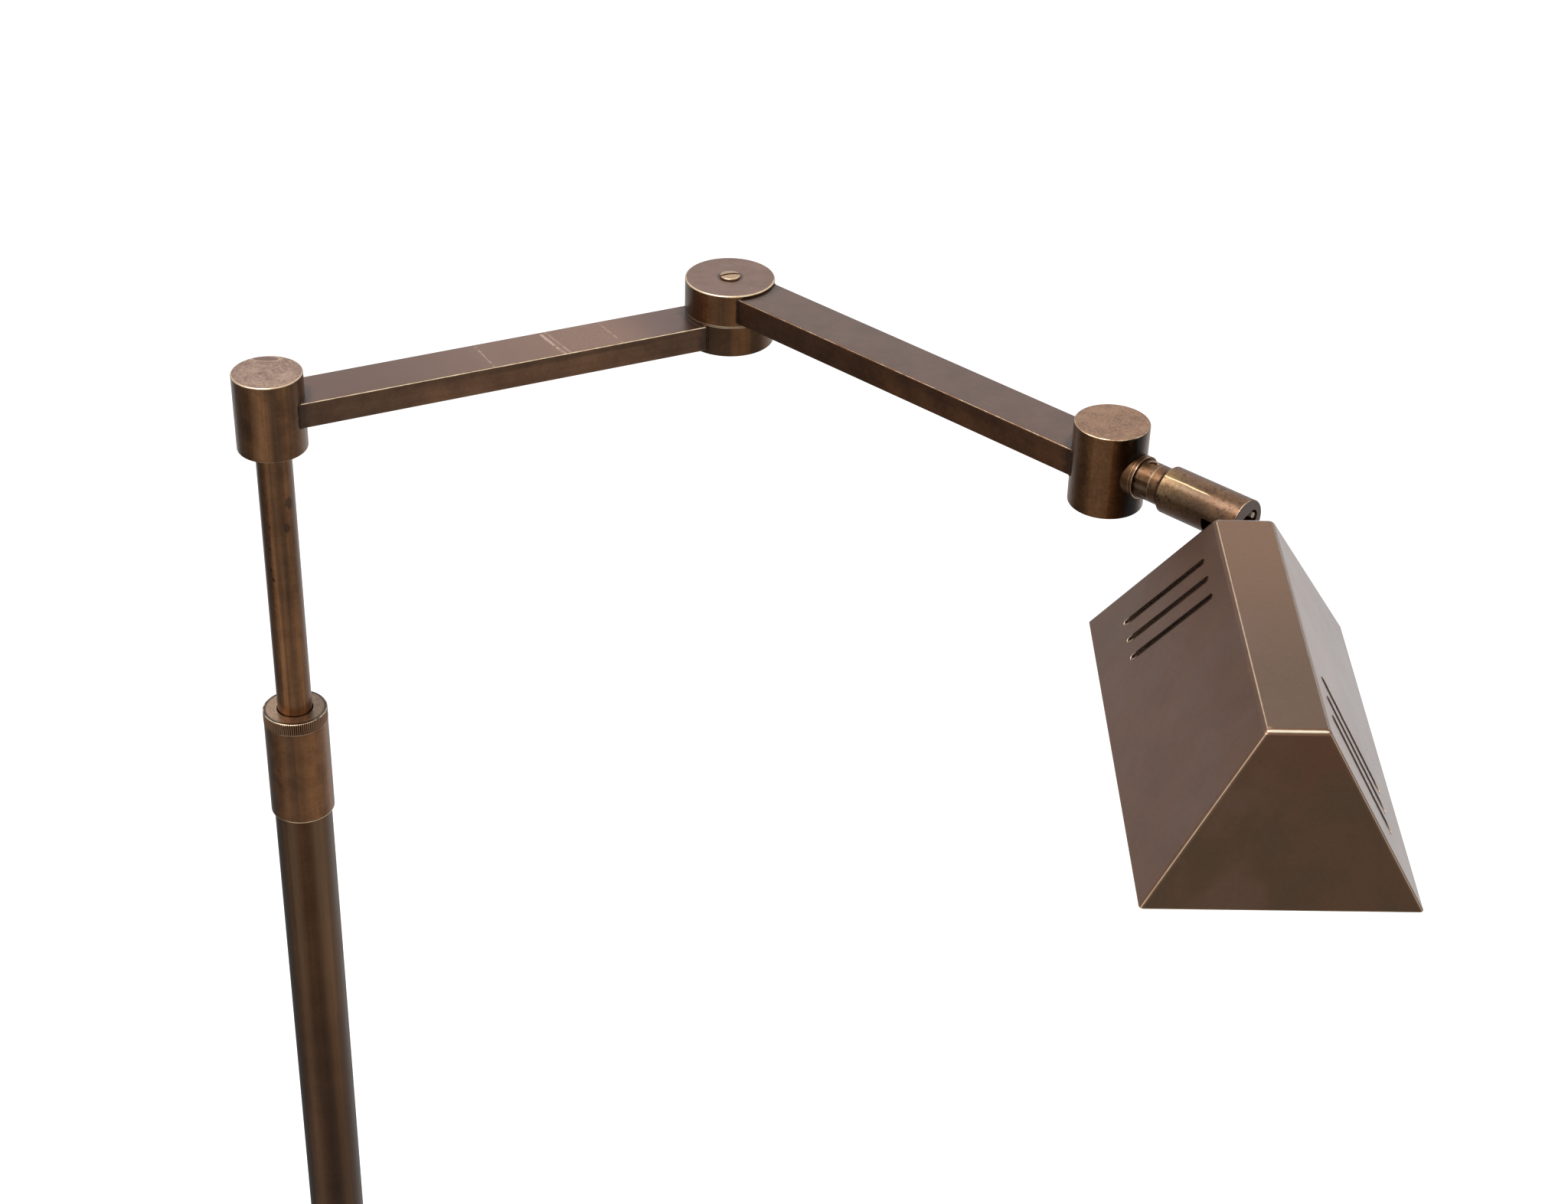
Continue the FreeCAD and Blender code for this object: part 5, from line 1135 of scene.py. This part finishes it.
class LAMP_OT_bulb(bpy.types.Operator):
    """Makes the double ended bulb: clear tube, filament, pinched ends and ceramic caps"""

    bl_idname = "lamp.bulb"
    bl_label = "Bulb"

    HEIGHT = 31.0
    CENTRE = SHADE_RIM + SHADE_UP * HEIGHT
    GLASS = 29.0
    GLASS_WALL = 0.9
    # Places beyond the glass tube's end, and radii
    PINCH = ((2.6, 2.0), (1.2, 3.6), (-1.0, 5.0), (-3.5, 5.5))
    CAP_END = 39.0
    COIL_END = 20.0
    COIL_RADIUS = 0.9
    COIL_STEPS = 8
    COIL_WIRE = 0.2
    ROUND_STEPS = 40

    def execute(self, context):
        clay = porcelain("bulb_porcelain", 42)
        glass = self.lathe("bulb_glass", self.glass_profile(), self.glass(), "bulb_glass")
        self.lathe("bulb_caps", self.cap_profile(1), clay, "ceramic")
        self.lathe("bulb_front_cap", self.cap_profile(-1), clay, "ceramic")
        self.filament(context.scene.lamp_details.filament_turns)
        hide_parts("bulb")
        return {"FINISHED"}

    def glass_profile(self):
        outer = [(-self.GLASS - beyond, radius) for beyond, radius in self.PINCH]
        outer += [(self.GLASS + beyond, radius) for beyond, radius in reversed(self.PINCH)]
        return outer + [(place, radius - self.GLASS_WALL) for place, radius in reversed(outer)]

    def cap_profile(self, side):
        start, end = self.GLASS, self.CAP_END
        points = ((start + 1.8, 0.0), (start + 1.8, 3.1), (start + 2.4, 3.4), (end - 1.2, 3.4),
                  (end - 0.5, 3.0), (end - 0.5, 1.4), (end, 1.2), (end, 0.0))
        return [(place * side, radius) for place, radius in points]

    def lathe(self, name, profile, material, slot):
        """Turns a profile of places and radii round the bulb's axis."""
        made = bmesh.new()
        steps = self.ROUND_STEPS
        rings = []
        for place, radius in profile:
            spots = []
            for i in range(steps if radius > 0 else 1):
                turn = 2 * math.pi * i / steps
                out = SHADE_ACROSS * math.cos(turn) + SHADE_UP * math.sin(turn)
                spot = self.CENTRE + SHADE_ALONG * place + out * radius
                spots.append(made.verts.new(spot / PER_METRE))
            rings.append(spots)
        pairs = list(zip(rings, rings[1:]))
        if profile[0][1] > 0:
            pairs.append((rings[-1], rings[0]))
        for first, second in pairs:
            for i in range(steps):
                j = (i + 1) % steps
                corner = [first[i % len(first)], first[j % len(first)]]
                corner += [second[j % len(second)], second[i % len(second)]]
                unique = list(dict.fromkeys(corner))
                if len(unique) > 2:
                    made.faces.new(unique)
        bmesh.ops.recalc_face_normals(made, faces=made.faces)
        for face in made.faces:
            face.smooth = True
        mesh = bpy.data.meshes.new(name)
        made.to_mesh(mesh)
        made.free()
        mesh.materials.append(material)
        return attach(put(name, mesh), "shade")

    def filament(self, turns):
        """A coil between the two ends, on a straight lead at each side."""
        lead = (self.GLASS + 2, self.COIL_END + 1)
        reach = SHADE_ALONG * self.COIL_END
        points = [self.CENTRE - SHADE_ALONG * place for place in lead]
        points += coil(self.CENTRE - reach, self.CENTRE + reach, SHADE_ACROSS, SHADE_UP,
                       self.COIL_RADIUS, turns, self.COIL_STEPS)
        points += [self.CENTRE + SHADE_ALONG * place for place in reversed(lead)]
        steel = Finish("filament_steel")
        tone = steel.mix(steel.noise(0.6, seed=41), (0.22, 0.21, 0.20), (0.42, 0.40, 0.38))
        material = steel.close(tone, 0.35, Metallic=1.0)
        tree = bead_tree("filament_wire", material, self.COIL_WIRE, sides=6, step=0.45)
        tree.make("bulb_filament", "shade", points, closed=False)

    def glass(self):
        p = Finish("bulb_clear_glass")
        haze = p.noise(6.0, seed=40)
        ends = p.step(abs(p.along(SHADE_RIM, SHADE_ALONG)), self.GLASS - 5, self.GLASS)
        tone = p.mix(haze, (0.86, 0.88, 0.90), (0.95, 0.95, 0.94))
        tone = p.mix(ends * 0.7, tone, (0.42, 0.41, 0.39))
        return p.close(tone, p.fan(haze, 0.02, 0.09), Transmission_Weight=1.0, IOR=1.5)


class LAMP_OT_switch_spring(bpy.types.Operator):
    """Winds the foot switch's spring"""

    bl_idname = "lamp.switch_spring"
    bl_label = "Switch spring"

    WIRE = 0.45
    TURNS = 6
    STEPS = 20
    PRESSED = 0.72

    def execute(self, context):
        low, high = corners("switch_spring")
        foot = Vector(((low.x + high.x) / 2, (low.y + high.y) / 2, low.z))
        radius = (high.x - low.x) / 2 - self.WIRE
        start = foot + UPRIGHT * self.WIRE
        end = foot + UPRIGHT * (high.z - low.z - self.WIRE)
        points = coil(start, end, Vector((1, 0, 0)), Vector((0, 1, 0)), radius, self.TURNS,
                      self.STEPS)
        material = plated_steel("spring_steel", 80)
        tree = bead_tree("switch_spring_wire", material, self.WIRE, step=1.2)
        spring = tree.make("foot_switch_spring", "stand", points, closed=False)
        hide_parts("switch_spring")
        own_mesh(spring)
        return {"FINISHED"}


# Other pieces


def porcelain(name, seed, *nodes):
    """Unglazed white ceramic with faint grey clouds."""
    p = Finish(name, *nodes)
    clouds = p.noise(5.0, detail=4.0, seed=seed)
    grain = p.noise(0.5, detail=2.0, seed=seed + 1)
    rough = grain * 0.2 + 0.35
    return p.plain(p.fan(clouds), (0.66, 0.64, 0.58), (0.78, 0.76, 0.71), rough, grain, 0.04)


def plated_steel(name, seed, *nodes):
    """Steel under a thin bright plating, with faint clouds."""
    p = Finish(name, *nodes)
    clouds = p.noise(4.0, detail=4.0, seed=seed)
    grain = p.noise(0.6, detail=2.0, seed=seed + 1)
    return p.plain(p.fan(clouds), (0.40, 0.40, 0.39), (0.58, 0.58, 0.57), (0.25, 0.42), grain,
                   0.02, Metallic=1.0)


def spun_cover():
    p = Patina("base_cover", tone=0.85, cloud=30, seed=60, wax=0.7, tint=(1, 0.9, 0.7))
    p.upright()
    rings = p.noise(1.0, where=spun(p, 1.6), seed=61)
    p.shade_by(p.fan(rings, 0.82, 1.2))
    scuffs = p.noise(34.0, detail=6.0, rough=0.7, seed=61.5)
    p.stain(p.step(scuffs, 0.56, 0.72, 0.0, 0.5), (0.26, 0.155, 0.085))
    p.specks(1.6, 0.2)
    p.rub(abs(p.side - 1.8).most(abs(p.top - 1.8)), 0.9, 0.7, 0.8)
    p.rub_rims(bottom=(0.5, 0.7))
    p.end()


def spun(p, pitch):
    """A vector that only changes outward and upward, for marks of a lathe."""
    out = (p.x * p.x + p.y * p.y) ** 0.5
    sockets = {"X": out / pitch, "Y": p.z / pitch, "Z": 0.0}
    return p.node("ShaderNodeCombineXYZ", None, sockets)


def flange():
    p = Patina("pole_flange", tone=0.9, cloud=9, seed=62, wax=0.7, tint=(1, 0.9, 0.7))
    p.upright()
    p.rub_rims((0.8, 0.8), (0.5, 0.6))
    p.end()


def bezel():
    p = Patina("switch_bezel", tone=1.1, cloud=6, seed=63, wax=0.7)
    p.upright()
    p.rub(p.side.most(p.top - 0.8), 0.6, 0.8)
    p.end()


def turned_brass():
    p = Finish("turned_brass", "hub_bush", "mast_head", "clamp_collet", "collet_seat",
               "pole_nipple", "nipple_nut", "nipple_washer", "pole_foot_plug",
               "switch_button", "holder_screws", "bracket_studs", "bracket_nuts")
    lathe = p.noise(0.5, detail=2.0, stretch=(4, 4, 0.6), seed=64)
    clouds = p.noise(6.0, seed=65)
    p.plain(p.fan(clouds), (0.52, 0.36, 0.15), (0.68, 0.50, 0.24), (0.22, 0.38), lathe, 0.03,
            Metallic=1.0)


def iron():
    p = Finish("cast_iron", "base_weight")
    cast = p.noise(1.6, detail=5.0, rough=0.7, seed=68)
    rust = p.step(p.noise(14.0, detail=4.0, seed=69), 0.52, 0.70)
    p.plain(rust, (0.045, 0.045, 0.047), (0.10, 0.055, 0.035), (0.55, 0.8), cast, 0.4, Metallic=0.6)


def felt():
    p = Finish("base_felt_cloth", "base_felt")
    fibre = p.noise(0.35, detail=4.0, rough=0.75, stretch=(1, 1, 2), seed=70)
    share = fibre * 0.7 + p.noise(9.0, detail=2.0, seed=71) * 0.3
    p.plain(share, (0.010, 0.030, 0.016), (0.045, 0.085, 0.050), 0.95, fibre, 0.3)


def rubber():
    p = Finish("soft_rubber", "cord_grommet", "stub_seal")
    bloom = p.noise(3.0, detail=4.0, seed=72)
    share = p.step(bloom, 0.4, 0.75)
    p.plain(share, (0.014, 0.014, 0.014), (0.040, 0.038, 0.036), (0.55, 0.75), bloom, 0.05)


def black_plastic():
    p = Finish("black_phenolic", "switch_case", "switch_terminal_plate")
    grain = p.noise(0.5, seed=73)
    p.plain(grain, (0.012, 0.011, 0.011), (0.032, 0.030, 0.029), (0.32, 0.48), grain, 0.04)


def nylon():
    p = Finish("natural_nylon", "rod_guide", "thrust_washer", "friction_disc", "pivot_washers")
    clouds = p.noise(4.0, seed=74)
    p.plain(clouds, (0.58, 0.55, 0.46), (0.72, 0.70, 0.62), (0.35, 0.5), clouds, 0.04)


def lead_sheath():
    p = Finish("lead_sheath", "mast_lead", "lower_arm_lead", "upper_arm_lead", "head_lead")
    bands = {"wave_type": "BANDS", "bands_direction": "DIAGONAL"}
    sockets = {"Vector": p.place, "Scale": 1.6, "Distortion": 1.5}
    weave = p.node("ShaderNodeTexWave", bands, sockets, "Fac")
    soil = p.noise(5.0, seed=75)
    p.plain(soil, (0.55, 0.50, 0.38), (0.74, 0.69, 0.56), 0.7, weave, 0.1)


def bright_sheet():
    p = Finish("bright_reflector_sheet", "reflector")
    rolled = p.noise(1.2, stretch=(1, 14, 1), seed=76)
    haze = p.fan(p.noise(20.0, seed=77))
    p.plain(haze, (0.66, 0.66, 0.65), (0.80, 0.80, 0.79), (0.16, 0.30), rolled, 0.02, Metallic=1.0)


class LAMP_OT_inner_pieces(bpy.types.Operator):
    """Finishes the pieces that hold the lamp together, its base and its light"""

    bl_idname = "lamp.inner_pieces"
    bl_label = "Inner pieces"

    def execute(self, context):
        spun_cover()
        flange()
        bezel()
        turned_brass()
        plated_steel("plated_steel", 66, "knuckle_nut", "knuckle_spring_washer",
                     "sleeve_grub_screw", "head_pivot_screw", "lamp_bracket")
        porcelain("holder_porcelain", 50, "rear_lampholder", "front_lampholder")
        iron()
        felt()
        rubber()
        black_plastic()
        nylon()
        lead_sheath()
        bright_sheet()
        return {"FINISHED"}


# Panel and registration


class LAMP_PT_sidebar(bpy.types.Panel):
    bl_idname = "LAMP_PT_sidebar"
    bl_label = "Swing arm floor lamp"
    bl_space_type = "VIEW_3D"
    bl_region_type = "UI"
    bl_category = "Lamp"

    def draw(self, context):
        for made in OPERATORS:
            self.layout.operator(made.bl_idname)


OPERATORS = (
    LAMP_OT_stage,
    LAMP_OT_mast,
    LAMP_OT_arms,
    LAMP_OT_head,
    LAMP_OT_shade,
    LAMP_OT_inner_pieces,
    LAMP_OT_braze_seams,
    LAMP_OT_vent_edges,
    LAMP_OT_bulb,
    LAMP_OT_switch_spring,
)
CLASSES = (LampFinish, LampDetails, LampStage, *OPERATORS, LAMP_PT_sidebar)


def register():
    for made in CLASSES:
        bpy.utils.register_class(made)
    bpy.types.Scene.lamp_finish = bpy.props.PointerProperty(type=LampFinish)
    bpy.types.Scene.lamp_details = bpy.props.PointerProperty(type=LampDetails)
    bpy.types.Scene.lamp_stage = bpy.props.PointerProperty(type=LampStage)


def unregister():
    del bpy.types.Scene.lamp_stage
    del bpy.types.Scene.lamp_details
    del bpy.types.Scene.lamp_finish
    for made in reversed(CLASSES):
        bpy.utils.unregister_class(made)


def main():
    register()
    for made in OPERATORS:
        getattr(bpy.ops.lamp, made.bl_idname.split(".")[1])()


if __name__ == "__main__":
    main()
